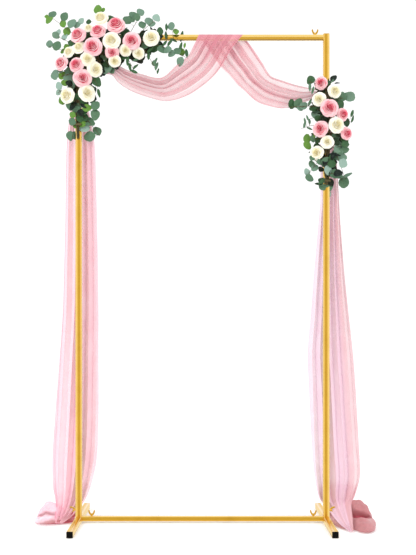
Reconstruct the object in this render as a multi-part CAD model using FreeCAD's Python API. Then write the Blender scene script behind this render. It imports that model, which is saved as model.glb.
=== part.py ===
import FreeCAD, Part
import math
import os

from FreeCAD import Rotation, Vector

# Wedding backdrop arch: a rectangular stand of square gold tubes with one sheer scarf looped over the
# top rail, and a swag of artificial roses and leaves tied on each upright.
# The origin is on the floor midway between the uprights, +Z is up and the front faces -Y.

# Stand
HEIGHT = 2000.0             # floor to the top of the uprights' caps
SPAN = 1013.0               # between the centres of the uprights
FOOT_LENGTH = 450.0         # front to back, with both caps
POST_SIDE = 25.0            # square tube of the uprights and feet
POST_WALL = 1.2
POST_CORNER = 2.5
RAIL_SIDE = 20.0            # square tube of the top and bottom rails
RAIL_WALL = 1.2
RAIL_CORNER = 2.0
TOP_RAIL_DROP = 14.0        # from the top of the arch down to the middle of the top rail
BOTTOM_RAIL_HEIGHT = 16.5   # from the floor up to the middle of the bottom rail
PEG_LENGTH = 60.0           # welded pegs that the tubes slide over
PEG_CLEARANCE = 0.3         # between a peg or plug and the bore round it, on each side
TOP_CAP_PLATE = 3.0
FOOT_CAP_PLATE = 2.5
CAP_EDGE = 1.0              # how far a cap's outer edge is rounded off
PLUG_LENGTH = 14.0
SMALLEST_CORNER = 0.4
CORNER_FLATS = 2            # flats that stand for a round corner of a tube

# Wing screws
SHANK_RADIUS = 2.5
SHANK_CLEARANCE = 0.3
HUB_RADIUS = 4.8
HUB_HEIGHT = 10.0
WING_SPAN = 28.0
WING_HEIGHT = 25.0
WING_THICKNESS = 2.4
ROUND_SIDES = 6             # flats that stand for a small round section
HUB_WAIST = 0.25            # share of the hub's height at which it starts to taper
HUB_TOP = 0.8               # radius of the hub's top, as a share of its foot's
# Outline of one wing from the hub outwards and back, in shares of half the span and of the height
WING_EAR = [
    (0.24, 0.12), (0.62, 0.22), (0.90, 0.52), (1.00, 0.80), (0.93, 0.95), (0.78, 1.00), (0.62, 0.92),
    (0.46, 0.62), (0.20, 0.42),
]
POST_SCREW_HEIGHT = 52.0    # above the floor
BOTTOM_SCREW_INSET = 40.0   # from the upright's inner face
TOP_SCREW_INSET = 33.0

# Ties round the uprights
TIE_THICKNESS = 1.5
TIE_WIDTH = 8.0
TIE_CLEARANCE = 0.3
DRAPE_TIE_DROP = {"left": 205.0, "right": 295.0}     # below the top of the arch
FLOWER_TIE_DROP = {"left": 376.0, "right": 604.0}

# Cloth
CLOTH_GAP = 0.4             # between gathered cloth and the tube that it lies on
FOLD_THICKNESS = 5.0        # packed layers of sheer cloth, as one solid
WRAP_LEFT, WRAP_RIGHT = -12.0, 165.0     # where the scarf crosses the top rail
WRAP_DROP = 42.0            # how far the wrap hangs below the top rail's upper face
WRAP_FOLDS = 6
WRAP_FOLD_DEPTH = 3.0
SWAG_FOLDS = 3
SWAG_FOLD_DEPTH = 12.0
FULL_SWAG = 100.0           # width from which a swag's folds have their full depth
CURTAIN_FOLDS = 4
CURTAIN_FOLD_DEPTH = 20.0
CURTAIN_STANDOFF = 5.0      # from the upright's back face to the curtain's nearest fold
NECK_OUT, NECK_IN = 14.0, 26.0           # gathered neck of the curtain, from the upright's centre line
NECK_HEIGHT = 60.0
NECK_FULLNESS = 0.3         # share of the full fold depth that is left in the neck
HEM_GAP = 1.5               # between the hem and the top of the foot that it crosses
POOL_HEIGHT = 58.0
POOL_GAP = 1.0              # between the pool and the side of the foot
POOL_RIPPLES = 8
POOL_NOTCH = 0.14           # depth of a ripple, as a share of the pool's radius
POOL_TOP_REACH = 0.45       # where the heap is highest, as a share of its reach
POOL_TOP_BACK = 0.8         # how far the top of the heap lies from its back edge towards the curtain
POOL_TIERS = [(0, 1.0), (0.35, 0.92), (0.75, 0.62), (1, 0.34)]      # shares of the height and the size

# Each swag, from the neck on its upright to the hem of the wrap: the upper edge and the lower edge, each
# as a share of the way across and a drop below the top of the arch, then the share of the way that the
# cloth has come from the neck's depth to the wrap's.
LEFT_SWAG = [
    (0.000, 150, 0.000, 186, 0.00), (0.198, 129, 0.167, 169, 0.35), (0.275, 155, 0.218, 206, 0.55),
    (0.363, 169, 0.306, 242, 0.75), (0.448, 186, 0.445, 273, 0.90), (0.506, 177, 0.534, 280, 0.97),
    (0.574, 136, 0.641, 260, 1.00), (0.647, 100, 0.730, 224, 1.00), (0.675, 82, 0.811, 180, 1.00),
    (0.690, 64, 0.891, 104, 1.00), (0.703, 46, 0.949, 46, 1.00),
]
RIGHT_SWAG = [
    (0.000, 232, 0.000, 270, 0.00), (0.105, 209, 0.068, 261, 0.20), (0.200, 199, 0.174, 288, 0.40),
    (0.306, 183, 0.269, 301, 0.60), (0.389, 169, 0.387, 300, 0.80), (0.427, 150, 0.537, 273, 1.00),
    (0.468, 117, 0.693, 202, 1.00), (0.525, 72, 0.821, 131, 1.00), (0.641, 46, 0.945, 46, 1.00),
]
# Each curtain: height above the floor, then its outer and inner edge from the upright's centre line,
# positive away from the arch's middle.
LEFT_CURTAIN = [
    (1560, 57, -57), (1234, 65, -64), (866, 75, -72), (540, 97, -62), (250, 112, -70), (134, 116, -48),
    (81, 100, -30),
]
RIGHT_CURTAIN = [
    (1366, 56, -12), (1242, 63, -22), (1027, 80, -42), (837, 99, -54), (697, 114, -66), (469, 130, -57),
    (250, 140, -54), (126, 139, -42), (81, 130, -37),
]
# Each pool: reach away from the foot's side, then its front and back edge.
POOLS = {"left": (162.0, -58.0, 98.0), "right": (166.0, -172.0, 62.0)}

# Roses: place of the head's middle as distance out from the upright's centre line and drop below the
# top of the arch, then its radius.
LEFT_PINK_ROSES = [
    (-87, 4, 30), (-160, -11, 35), (-9, 27, 31), (-223, 42, 33), (-67, 70, 36), (-146, 100, 24),
    (62, 140, 28), (4, 140, 27), (-24, 196, 34),
]
LEFT_CREAM_ROSES = [
    (-98, -46, 23), (-143, 46, 29), (-300, 32, 30), (-12, 78, 20), (-197, 86, 24), (-249, 96, 21),
    (28, 92, 21), (-46, 121, 25), (-77, 164, 26), (-158, 140, 20), (33, 266, 26), (-34, 260, 29),
]
RIGHT_PINK_ROSES = [(-32, 217, 24), (3, 320, 34), (62, 342, 25), (-34, 400, 31), (77, 417, 25)]
RIGHT_CREAM_ROSES = [(30, 246, 26), (-39, 278, 26), (33, 387, 31), (-4, 453, 26), (-46, 494, 27)]
STEM_RADIUS = 2.0
STEM_SIDES = 4

# A rose head: size and height of its outlines from the base up, in shares of its radius
OUTER_PETALS, OUTER_NOTCH = 5, 0.84      # the notch is the radius between two petals
INNER_PETALS, INNER_NOTCH = 3, 0.88
INNER_TURN = 0.5            # radians
CUP = [(0.22, 0), (0.72, 0.22), (1.0, 0.62)]
CUP_HOLLOW = [(0.52, 0.26), (0.86, 0.62)]
HEART = [(0.46, 0.2), (0.66, 0.80)]
HEART_HOLLOW = [(0.36, 0.5), (0.54, 0.80)]
BUD_SIDES = 5
BUD = [(0.34, 0.45), (0.2, 0.95)]
HEAD_MIDDLE = 0.35          # above its base, in shares of its radius
HEAD_LIFT = 0.5             # in front of the stem bundle, in shares of its radius
STEM_GRIP = 0.1             # how far a stem reaches into its head
LEAN = 0.5                  # sideways lean of the heads that are farthest from the bundle
LEAN_FROM = 45.0            # distance from the bundle below which a head leans less
SETTLE_LIMIT, SETTLE = 60.0, 0.25        # heads away from the bundle lie lower by this share of the way

# Stem bundles: distance out, drop and radius along the middle line.
BUNDLE_SIDES = 8
LEFT_BUNDLE = [
    (-330, 34, 7), (-250, 44, 14), (-160, 56, 18), (-80, 78, 20), (-30, 130, 19), (-6, 210, 16),
    (0, 300, 10), (0, 430, 6),
]
RIGHT_BUNDLE = [
    (8, 200, 7), (4, 260, 14), (8, 340, 17), (8, 420, 15), (0, 500, 10), (0, 620, 6),
]

# Eucalyptus sprays: root and tip as distance out and drop, then pairs of leaves and leaf length.
TWIG_RADIUS = 1.4
TWIG_TIP = 0.6              # radius at the tip, as a share of the root's
LEAF_THICKNESS = 1.6        # at its middle
LEAF_RIM = [(0, 0), (0.4, 0.38), (0.82, 0.3), (1, 0), (0.82, -0.3), (0.4, -0.38)]
FIRST_PAIR, LAST_PAIR = 0.55, 0.65       # spaces from the tip to the first pair and from the last to the root
LEAF_SWEEP = 0.45           # how far the leaves point towards the tip
LEAF_CUP, LEAF_NOD, NOD_STEP = 0.3, 0.35, 2.1        # how the leaves' faces turn from one pair to the next
LEFT_SPRAYS = [
    (-60, 95, 122, -58, 4, 32), (-75, 80, 4, -52, 1, 28), (-110, 68, -92, -84, 2, 32),
    (-150, 58, -268, -66, 3, 32), (-300, 40, -424, 62, 4, 34), (-240, 46, -384, -14, 2, 34),
    (-220, 50, -306, 180, 3, 32), (-40, 120, 130, 66, 3, 32), (-12, 180, 108, 178, 3, 34),
    (-5, 230, 92, 252, 2, 32), (0, 290, 58, 384, 3, 32), (0, 350, -16, 442, 2, 30),
    (-2, 280, -70, 410, 3, 30), (-60, 96, -90, 262, 2, 32),
]
RIGHT_SPRAYS = [
    (4, 225, -88, 196, 1, 32), (6, 225, 24, 180, 1, 30), (4, 280, -140, 306, 3, 30),
    (6, 320, -88, 390, 3, 28), (8, 320, 94, 276, 2, 32), (8, 380, 98, 370, 2, 30),
    (6, 430, -86, 478, 2, 32), (0, 510, -82, 622, 3, 34), (0, 590, -2, 682, 2, 32),
    (2, 480, 70, 630, 4, 34), (8, 440, 76, 478, 2, 32),
]
SPRAY_STANDOFF = 12.0       # of a spray's tip in front of the ties

FLATNESS = 1e-6             # below this four corners count as one plane

# Worked out from the sizes above
HALF_SPAN = SPAN / 2
POST_FACE = POST_SIDE / 2
INNER_FACE = HALF_SPAN - POST_FACE
TOP_RAIL_HEIGHT = HEIGHT - TOP_RAIL_DROP
FRONT_OF_TIES = POST_FACE + TIE_THICKNESS + 2 * TIE_CLEARANCE
WRAP_FACE = RAIL_SIDE / 2 + CLOTH_GAP
WRAP_HEM = TOP_RAIL_HEIGHT + RAIL_SIDE / 2 - WRAP_DROP
SIDES = {"left": -1, "right": 1}


def faceted_solid(sections):
    """Solid of flat facets through closed outlines that have the same number of points. The first and
    the last outline are flat."""
    faces = [polygon(sections[0]), polygon(sections[-1])]
    count = len(sections[0])
    for lower, upper in zip(sections, sections[1:]):
        for k in range(count):
            a, b = lower[k], lower[(k + 1) % count]
            c, d = upper[(k + 1) % count], upper[k]
            if abs((b - a).cross(c - a).dot(d - a)) < FLATNESS:
                faces.append(polygon([a, b, c, d]))
            else:
                faces += [polygon([a, b, c]), polygon([a, c, d])]
    solid = Part.Solid(Part.Shell(faces))
    return solid if solid.Volume > 0 else solid.reversed()


def polygon(points):
    return Part.Face(Part.makePolygon(points + points[:1]))


def rounded_square(side, corner, height):
    """Outline of a square with faceted round corners, centred on the Z axis."""
    centre = side / 2 - corner
    points = []
    for quarter in range(4):
        for step in range(CORNER_FLATS + 1):
            angle = math.pi / 2 * (quarter + step / CORNER_FLATS)
            middle = math.pi / 2 * quarter + math.pi / 4
            points.append(Vector(
                math.copysign(centre, math.cos(middle)) + corner * math.cos(angle),
                math.copysign(centre, math.sin(middle)) + corner * math.sin(angle),
                height,
            ))
    return points


def square_bar(side, corner, bottom, top):
    """Solid bar along Z with round corners."""
    return polygon(rounded_square(side, corner, bottom)).extrude(Vector(0, 0, top - bottom))


def inner_corner(wall, corner):
    return max(corner - wall, SMALLEST_CORNER)


def square_tube(side, wall, corner, length):
    """Open tube along Z."""
    bore = square_bar(side - 2 * wall, inner_corner(wall, corner), 0, length)
    return square_bar(side, corner, 0, length).cut(bore)


def fitted_bar(side, wall, corner, bottom, top):
    """Bar that slides into the bore of such a tube."""
    return square_bar(side - 2 * (wall + PEG_CLEARANCE), inner_corner(wall, corner), bottom, top)


def aim(shape, start, direction):
    """Copy of a shape drawn along Z, put at start and turned to the direction."""
    placed = shape.copy()
    placed.Placement = FreeCAD.Placement(start, Rotation(Vector(0, 0, 1), direction))
    return placed


def screw_hole(surface_point, direction, wall):
    """What a wing screw's hole takes out of one wall of a tube."""
    radius = SHANK_RADIUS + SHANK_CLEARANCE
    plug = faceted_solid([ring(radius, z, ROUND_SIDES) for z in (-wall - PEG_CLEARANCE, wall)])
    return aim(plug, surface_point, direction)


def foot(side):
    """Tube on the floor with the pegs of the upright and of the bottom rail welded on."""
    tube = square_tube(POST_SIDE, POST_WALL, POST_CORNER, FOOT_LENGTH - 2 * FOOT_CAP_PLATE)
    front = Vector(side * HALF_SPAN, -FOOT_LENGTH / 2 + FOOT_CAP_PLATE, POST_FACE)
    post_peg = fitted_bar(POST_SIDE, POST_WALL, POST_CORNER, 0, PEG_LENGTH)
    rail_peg = fitted_bar(RAIL_SIDE, RAIL_WALL, RAIL_CORNER, 0, PEG_LENGTH)
    return aim(tube, front, Vector(0, 1, 0)).multiFuse([
        aim(post_peg, Vector(side * HALF_SPAN, 0, POST_SIDE), Vector(0, 0, 1)),
        aim(rail_peg, Vector(side * INNER_FACE, 0, BOTTOM_RAIL_HEIGHT), Vector(-side, 0, 0)),
    ])


def upright(side):
    """Tube from the foot to the cap with the peg of the top rail welded on its inner face."""
    tube = square_tube(POST_SIDE, POST_WALL, POST_CORNER, HEIGHT - TOP_CAP_PLATE - POST_SIDE)
    post = aim(tube, Vector(side * HALF_SPAN, 0, POST_SIDE), Vector(0, 0, 1))
    peg = fitted_bar(RAIL_SIDE, RAIL_WALL, RAIL_CORNER, 0, PEG_LENGTH)
    peg = aim(peg, Vector(side * INNER_FACE, 0, TOP_RAIL_HEIGHT), Vector(-side, 0, 0))
    outer_face = Vector(side * (HALF_SPAN + POST_FACE), 0, POST_SCREW_HEIGHT)
    return post.fuse(peg).cut(screw_hole(outer_face, Vector(side, 0, 0), POST_WALL))


def rail(height, screw_inset):
    """Tube between the uprights with a screw hole through its top at each end."""
    tube = square_tube(RAIL_SIDE, RAIL_WALL, RAIL_CORNER, 2 * INNER_FACE)
    bar = aim(tube, Vector(-INNER_FACE, 0, height), Vector(1, 0, 0))
    for side in SIDES.values():
        top = Vector(side * (INNER_FACE - screw_inset), 0, height + RAIL_SIDE / 2)
        bar = bar.cut(screw_hole(top, Vector(0, 0, 1), RAIL_WALL))
    return bar


def cap(plate):
    """Plate that closes a post tube, with a plug that fits its bore. The tube ends at Z = 0."""
    lid = faceted_solid([
        rounded_square(POST_SIDE, POST_CORNER, 0),
        rounded_square(POST_SIDE, POST_CORNER, plate - CAP_EDGE),
        rounded_square(POST_SIDE - 2 * CAP_EDGE, POST_CORNER, plate),
    ])
    return lid.fuse(fitted_bar(POST_SIDE, POST_WALL, POST_CORNER, -PLUG_LENGTH, 0))


def ring(radius, height, sides):
    """Points of a regular outline round the Z axis."""
    return [
        Vector(radius * math.cos(2 * math.pi * k / sides), radius * math.sin(2 * math.pi * k / sides), height)
        for k in range(sides)
    ]


def wing_screw(wall):
    """Screw along Z whose hub sits on the tube at Z = 0 and whose tip bears on the peg inside."""
    shank = faceted_solid([ring(SHANK_RADIUS, z, ROUND_SIDES) for z in (-wall - PEG_CLEARANCE, 0)])
    hub = faceted_solid([
        ring(HUB_RADIUS, 0, ROUND_SIDES),
        ring(HUB_RADIUS, HUB_HEIGHT * HUB_WAIST, ROUND_SIDES),
        ring(HUB_RADIUS * HUB_TOP, HUB_HEIGHT, ROUND_SIDES),
    ])
    ear = [(run * WING_SPAN / 2, rise * WING_HEIGHT) for run, rise in WING_EAR]
    outline = [Vector(x, -WING_THICKNESS / 2, z) for x, z in ear]
    outline += [Vector(-x, -WING_THICKNESS / 2, z) for x, z in reversed(ear)]
    wings = polygon(outline).extrude(Vector(0, WING_THICKNESS, 0))
    return hub.multiFuse([shank, wings])


def tie(side, drop, front, back):
    """Flat band round an upright and what is tied to it, from front to back."""
    half = POST_FACE + TIE_CLEARANCE
    bottom = HEIGHT - drop - TIE_WIDTH / 2
    low = Vector(side * HALF_SPAN - half, front, bottom)
    hole = Part.makeBox(2 * half, back - front, TIE_WIDTH, low)
    wall = Vector(TIE_THICKNESS, TIE_THICKNESS, 0)
    band = Part.makeBox(
        2 * (half + TIE_THICKNESS), back - front + 2 * TIE_THICKNESS, TIE_WIDTH, low - wall
    )
    return band.cut(hole)


def pleated_section(start, end, outward, folds, depth, follow):
    """Closed outline of pleated cloth from start to end. Its front rises by the depth once for each
    fold, and its back follows it by the given share."""
    steps = 2 * folds
    back, front = [], []
    for step in range(steps + 1):
        base = start + (end - start) * (step / steps)
        rise = depth * (step % 2)
        back.append(base + outward * (rise * follow))
        front.append(base + outward * (rise + FOLD_THICKNESS))
    return front + back[::-1]


def bar_wrap():
    """Scarf where it lies over the top rail, with its ends hanging in front and behind."""
    top = TOP_RAIL_HEIGHT + WRAP_FACE
    route = [
        (-WRAP_FACE, WRAP_HEM, Vector(0, -1, 0)), (-WRAP_FACE, top, Vector(0, -1, 1)),
        (WRAP_FACE, top, Vector(0, 1, 1)), (WRAP_FACE, WRAP_HEM, Vector(0, 1, 0)),
    ]
    return faceted_solid([
        pleated_section(
            Vector(WRAP_LEFT, y, z), Vector(WRAP_RIGHT, y, z), outward, WRAP_FOLDS, WRAP_FOLD_DEPTH, 0
        )
        for y, z, outward in route
    ])


def swag(side, stations, far_edge, far_depth):
    """Cloth that hangs in a curve from the neck on an upright to the hem of the wrap."""
    neck = side * (HALF_SPAN - NECK_IN)
    neck_depth = POST_FACE + TIE_THICKNESS + CURTAIN_STANDOFF + FOLD_THICKNESS
    sections = []
    for upper_share, upper_drop, lower_share, lower_drop, depth_share in stations:
        y = neck_depth + (far_depth - neck_depth) * depth_share
        upper = Vector(neck + (far_edge - neck) * upper_share, y, HEIGHT - upper_drop)
        lower = Vector(neck + (far_edge - neck) * lower_share, y, HEIGHT - lower_drop)
        fullness = min(1, (lower - upper).Length / FULL_SWAG)
        sections.append(pleated_section(
            upper, lower, Vector(0, -1, 0), SWAG_FOLDS, SWAG_FOLD_DEPTH * fullness, 1
        ))
    return faceted_solid(sections)


def curtain(side, drop, stations):
    """Cloth behind an upright, from the gathered neck at the tie down to the foot."""
    back = POST_FACE + TIE_THICKNESS + CURTAIN_STANDOFF
    neck_top = HEIGHT - drop + NECK_HEIGHT
    hem = POST_SIDE + HEM_GAP
    widths = [(neck_top, NECK_OUT, -NECK_IN, NECK_FULLNESS)]
    for edge in (TIE_WIDTH, -TIE_WIDTH):
        widths.append((HEIGHT - drop + edge, POST_FACE, -POST_FACE, NECK_FULLNESS))
    widths += [(height, out, inner, 1) for height, out, inner in stations]
    widths += [(hem, stations[-1][1], stations[-1][2], 1)]
    return faceted_solid([
        pleated_section(
            Vector(side * (HALF_SPAN + out), back, height), Vector(side * (HALF_SPAN + inner), back, height),
            Vector(0, 1, 0), CURTAIN_FOLDS, CURTAIN_FOLD_DEPTH * fullness, 1,
        )
        for height, out, inner, fullness in widths
    ])


def pool(side, reach, front, back):
    """Heap of cloth on the floor beside a foot, with ripples round its edge."""
    near = HALF_SPAN + POST_FACE + POOL_GAP
    middle = Vector(side * (near + reach / 2), (front + back) / 2, 0)
    below_curtain = POST_FACE + CURTAIN_FOLD_DEPTH
    heap_top = Vector(
        side * (near + reach * POOL_TOP_REACH), back + (below_curtain - back) * POOL_TOP_BACK, 0
    )
    sections = []
    for rise, size in POOL_TIERS:
        centre = middle + (heap_top - middle) * rise + Vector(0, 0, POOL_HEIGHT * rise)
        points = []
        for k in range(2 * POOL_RIPPLES):
            angle = math.pi * k / POOL_RIPPLES
            wave = size * (1 - POOL_NOTCH * (k % 2))
            points.append(centre + Vector(
                wave * reach / 2 * math.cos(angle), wave * (back - front) / 2 * math.sin(angle), 0
            ))
        sections.append(points)
    return faceted_solid(sections)


def stem_bundle(side, stations):
    """Bundle of stems along the arrangement, with its flat back against the ties."""
    middles = [
        Vector(side * (HALF_SPAN + out), -FRONT_OF_TIES - radius, HEIGHT - drop)
        for out, drop, radius in stations
    ]
    sections = []
    for k, middle in enumerate(middles):
        along = middles[min(k + 1, len(middles) - 1)] - middles[max(k - 1, 0)]
        across = Vector(along.z, 0, -along.x).normalize()
        points = []
        reach = stations[k][2] / math.cos(math.pi / BUNDLE_SIDES)
        for corner in range(BUNDLE_SIDES):
            angle = 2 * math.pi * (corner + 0.5) / BUNDLE_SIDES
            points.append(middle + across * (reach * math.cos(angle)) + Vector(0, reach * math.sin(angle), 0))
        sections.append(points)
    return faceted_solid(sections)


def petal_ring(radius, height, petals, notch, turn):
    """Outline of overlapping petals: full at each petal's middle and notched between two."""
    points = []
    for k in range(2 * petals):
        angle = math.pi * k / petals + turn
        reach = radius * (1 if k % 2 == 0 else notch)
        points.append(Vector(reach * math.cos(angle), reach * math.sin(angle), height))
    return points


def rose(radius):
    """Rose head along Z with its base at Z = 0: an outer cup of five petals, an inner cup of three
    and a twisted bud."""
    cup, cup_hollow = (
        faceted_solid([
            petal_ring(radius * size, radius * rise, OUTER_PETALS, OUTER_NOTCH, 0) for size, rise in outlines
        ])
        for outlines in (CUP, CUP_HOLLOW)
    )
    heart, heart_hollow = (
        faceted_solid([
            petal_ring(radius * size, radius * rise, INNER_PETALS, INNER_NOTCH, INNER_TURN)
            for size, rise in outlines
        ])
        for outlines in (HEART, HEART_HOLLOW)
    )
    bud = faceted_solid([ring(radius * size, radius * rise, BUD_SIDES) for size, rise in BUD])
    return cup.cut(cup_hollow).fuse(heart).cut(heart_hollow).fuse(bud)


def nearest_on(stations, side, point):
    """Nearest middle point of a stem bundle to a point in front view, with the bundle's radius."""
    best = None
    for (out_a, drop_a, radius_a), (out_b, drop_b, radius_b) in zip(stations, stations[1:]):
        a = Vector(side * (HALF_SPAN + out_a), 0, HEIGHT - drop_a)
        b = Vector(side * (HALF_SPAN + out_b), 0, HEIGHT - drop_b)
        run = b - a
        share = min(1, max(0, (point - a).dot(run) / run.dot(run)))
        foot_point = a + run * share
        radius = radius_a + (radius_b - radius_a) * share
        distance = (point - foot_point).Length
        if best is None or distance < best[0]:
            best = (distance, foot_point, radius)
    distance, foot_point, radius = best
    return distance, foot_point + Vector(0, -FRONT_OF_TIES - radius, 0), radius


def roses(side, places, stations, bundle):
    """Roses on their stems. Each head leans away from the bundle and its stem ends at the bundle."""
    heads = []
    for out, drop, radius in places:
        place = Vector(side * (HALF_SPAN + out), 0, HEIGHT - drop)
        distance, root, bundle_radius = nearest_on(stations, side, place)
        lift = bundle_radius + HEAD_LIFT * radius - min(distance, SETTLE_LIMIT) * SETTLE
        middle = Vector(place.x, root.y - lift, place.z)
        lean = Vector(place.x - root.x, 0, place.z - root.z) * (LEAN / max(distance, LEAN_FROM))
        axis = (Vector(0, -1, 0) + lean).normalize()
        base = middle - axis * (HEAD_MIDDLE * radius)
        stem_run = base + axis * (STEM_GRIP * radius) - root
        stem = faceted_solid([ring(STEM_RADIUS, z, STEM_SIDES) for z in (0, stem_run.Length)])
        heads.append(aim(rose(radius), base, axis).fuse(aim(stem, root, stem_run)).cut(bundle))
    return Part.makeCompound(heads)


def leaf(root, direction, face_normal, length):
    """Eucalyptus leaf, nearly round and thickest in the middle, that grows from its root."""
    along = Vector(direction).normalize()
    across = along.cross(face_normal).normalize()
    normal = across.cross(along).normalize()
    rim = [
        root + along * (length * run) + across * (length * reach)
        for run, reach in LEAF_RIM
    ]
    faces = []
    for face_side in (-1, 1):
        crown = root + along * (length / 2) + normal * (face_side * LEAF_THICKNESS / 2)
        faces += [polygon([start, end, crown]) for start, end in zip(rim, rim[1:] + rim[:1])]
    solid = Part.Solid(Part.Shell(faces))
    return solid if solid.Volume > 0 else solid.reversed()


def spray(side, stations, root_out, root_drop, tip_out, tip_drop, pairs, leaf_length):
    """Twig from the middle of the stem bundle with pairs of leaves and one at its tip."""
    root_place = Vector(side * (HALF_SPAN + root_out), 0, HEIGHT - root_drop)
    root = nearest_on(stations, side, root_place)[1]
    tip = Vector(side * (HALF_SPAN + tip_out), -FRONT_OF_TIES - SPRAY_STANDOFF, HEIGHT - tip_drop)
    run = tip - root
    twig = faceted_solid([
        ring(TWIG_RADIUS, 0, STEM_SIDES), ring(TWIG_RADIUS * TWIG_TIP, run.Length, STEM_SIDES)
    ])
    forward = Vector(0, -1, 0)
    sideways = run.cross(forward).normalize()
    heading = Vector(run).normalize()
    leaves = [leaf(tip - heading * TWIG_RADIUS, heading, forward, leaf_length)]
    for pair in range(pairs):
        place = root + run * (1 - (pair + FIRST_PAIR) / (pairs + FIRST_PAIR + LAST_PAIR))
        for hand in (-1, 1):
            nod = heading * (LEAF_NOD * math.sin(NOD_STEP * pair + hand))
            tilt = forward + nod + sideways * (LEAF_CUP * hand)
            leaves.append(leaf(place, sideways * hand + heading * LEAF_SWEEP, tilt, leaf_length))
    return aim(twig, root, run).multiFuse(leaves)


def eucalyptus(side, sprays, stations, bundle):
    """All sprays of one arrangement, each ending at the stem bundle."""
    pieces = [spray(side, stations, *values).cut(bundle) for values in sprays]
    return Part.makeCompound([max(piece.Solids, key=lambda solid: solid.Volume) for piece in pieces])


def build():
    nodes = {}
    for name, side in SIDES.items():
        outward = Vector(side, 0, 0)
        nodes[f"{name}_foot"] = foot(side)
        nodes[f"{name}_upright"] = upright(side)
        nodes[f"{name}_top_cap"] = aim(
            cap(TOP_CAP_PLATE), Vector(side * HALF_SPAN, 0, HEIGHT - TOP_CAP_PLATE), Vector(0, 0, 1)
        )
        for end, facing in (("front", -1), ("back", 1)):
            nodes[f"{name}_foot_{end}_cap"] = aim(
                cap(FOOT_CAP_PLATE),
                Vector(side * HALF_SPAN, facing * (FOOT_LENGTH / 2 - FOOT_CAP_PLATE), POST_FACE),
                Vector(0, facing, 0),
            )
        nodes[f"{name}_upright_screw"] = aim(
            wing_screw(POST_WALL), Vector(side * (HALF_SPAN + POST_FACE), 0, POST_SCREW_HEIGHT), outward
        )
        for place, height, inset in (
            ("top", TOP_RAIL_HEIGHT, TOP_SCREW_INSET), ("bottom", BOTTOM_RAIL_HEIGHT, BOTTOM_SCREW_INSET)
        ):
            nodes[f"{name}_{place}_rail_screw"] = aim(
                wing_screw(RAIL_WALL),
                Vector(side * (INNER_FACE - inset), 0, height + RAIL_SIDE / 2),
                Vector(0, 0, 1),
            )
    nodes["top_rail"] = rail(TOP_RAIL_HEIGHT, TOP_SCREW_INSET)
    nodes["bottom_rail"] = rail(BOTTOM_RAIL_HEIGHT, BOTTOM_SCREW_INSET)

    nodes["bar_wrap"] = bar_wrap()
    nodes["left_swag"] = swag(-1, LEFT_SWAG, WRAP_RIGHT, -WRAP_FACE)
    nodes["right_swag"] = swag(1, RIGHT_SWAG, WRAP_LEFT, WRAP_FACE + FOLD_THICKNESS)
    for name, stations in (("left", LEFT_CURTAIN), ("right", RIGHT_CURTAIN)):
        side = SIDES[name]
        nodes[f"{name}_pool"] = pool(side, *POOLS[name])
        nodes[f"{name}_curtain"] = curtain(side, DRAPE_TIE_DROP[name], stations).cut(nodes[f"{name}_pool"])

    cloth_back = POST_FACE + TIE_THICKNESS + CURTAIN_STANDOFF + FOLD_THICKNESS
    cloth_back += NECK_FULLNESS * CURTAIN_FOLD_DEPTH
    for name, stations, pink, cream, sprays in (
        ("left", LEFT_BUNDLE, LEFT_PINK_ROSES, LEFT_CREAM_ROSES, LEFT_SPRAYS),
        ("right", RIGHT_BUNDLE, RIGHT_PINK_ROSES, RIGHT_CREAM_ROSES, RIGHT_SPRAYS),
    ):
        side = SIDES[name]
        bundle = stem_bundle(side, stations)
        nodes[f"{name}_stem_bundle"] = bundle
        nodes[f"{name}_pink_roses"] = roses(side, pink, stations, bundle)
        nodes[f"{name}_cream_roses"] = roses(side, cream, stations, bundle)
        nodes[f"{name}_eucalyptus"] = eucalyptus(side, sprays, stations, bundle)
        nodes[f"{name}_drape_tie"] = tie(
            side, DRAPE_TIE_DROP[name], -POST_FACE - TIE_CLEARANCE, cloth_back + TIE_CLEARANCE
        )
        tie_place = Vector(side * HALF_SPAN, 0, HEIGHT - FLOWER_TIE_DROP[name])
        tied_radius = nearest_on(stations, side, tie_place)[2]
        nodes[f"{name}_flower_tie"] = tie(
            side, FLOWER_TIE_DROP[name], -FRONT_OF_TIES - 2 * tied_radius - TIE_CLEARANCE,
            POST_FACE + TIE_CLEARANCE,
        )
    return nodes


os.makedirs("parts", exist_ok=True)
for node_name, solid in build().items():
    solid.exportStep(f"parts/{node_name}.step")
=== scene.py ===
import math
import random

import bpy
from mathutils import Matrix, Vector, noise


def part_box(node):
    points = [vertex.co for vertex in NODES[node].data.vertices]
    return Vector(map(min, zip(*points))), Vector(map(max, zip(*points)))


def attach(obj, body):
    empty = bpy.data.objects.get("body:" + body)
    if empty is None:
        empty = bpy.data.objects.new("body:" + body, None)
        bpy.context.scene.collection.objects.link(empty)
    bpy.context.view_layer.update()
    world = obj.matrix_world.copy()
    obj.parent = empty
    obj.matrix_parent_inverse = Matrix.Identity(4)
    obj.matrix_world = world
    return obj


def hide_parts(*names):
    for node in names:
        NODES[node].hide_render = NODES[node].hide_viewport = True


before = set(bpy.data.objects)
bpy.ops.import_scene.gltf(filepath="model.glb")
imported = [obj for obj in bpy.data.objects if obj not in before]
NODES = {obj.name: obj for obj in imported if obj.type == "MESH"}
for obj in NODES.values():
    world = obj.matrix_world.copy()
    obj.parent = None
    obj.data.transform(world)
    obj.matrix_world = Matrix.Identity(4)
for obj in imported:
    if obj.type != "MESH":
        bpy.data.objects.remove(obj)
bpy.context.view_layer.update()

# Wedding arch: a stand of square gold tubes, one sheer pink scarf looped over its top rail, and a swag of
# artificial roses and leaves tied on each upright. Metres, floor at Z = 0, front facing -Y.

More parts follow.
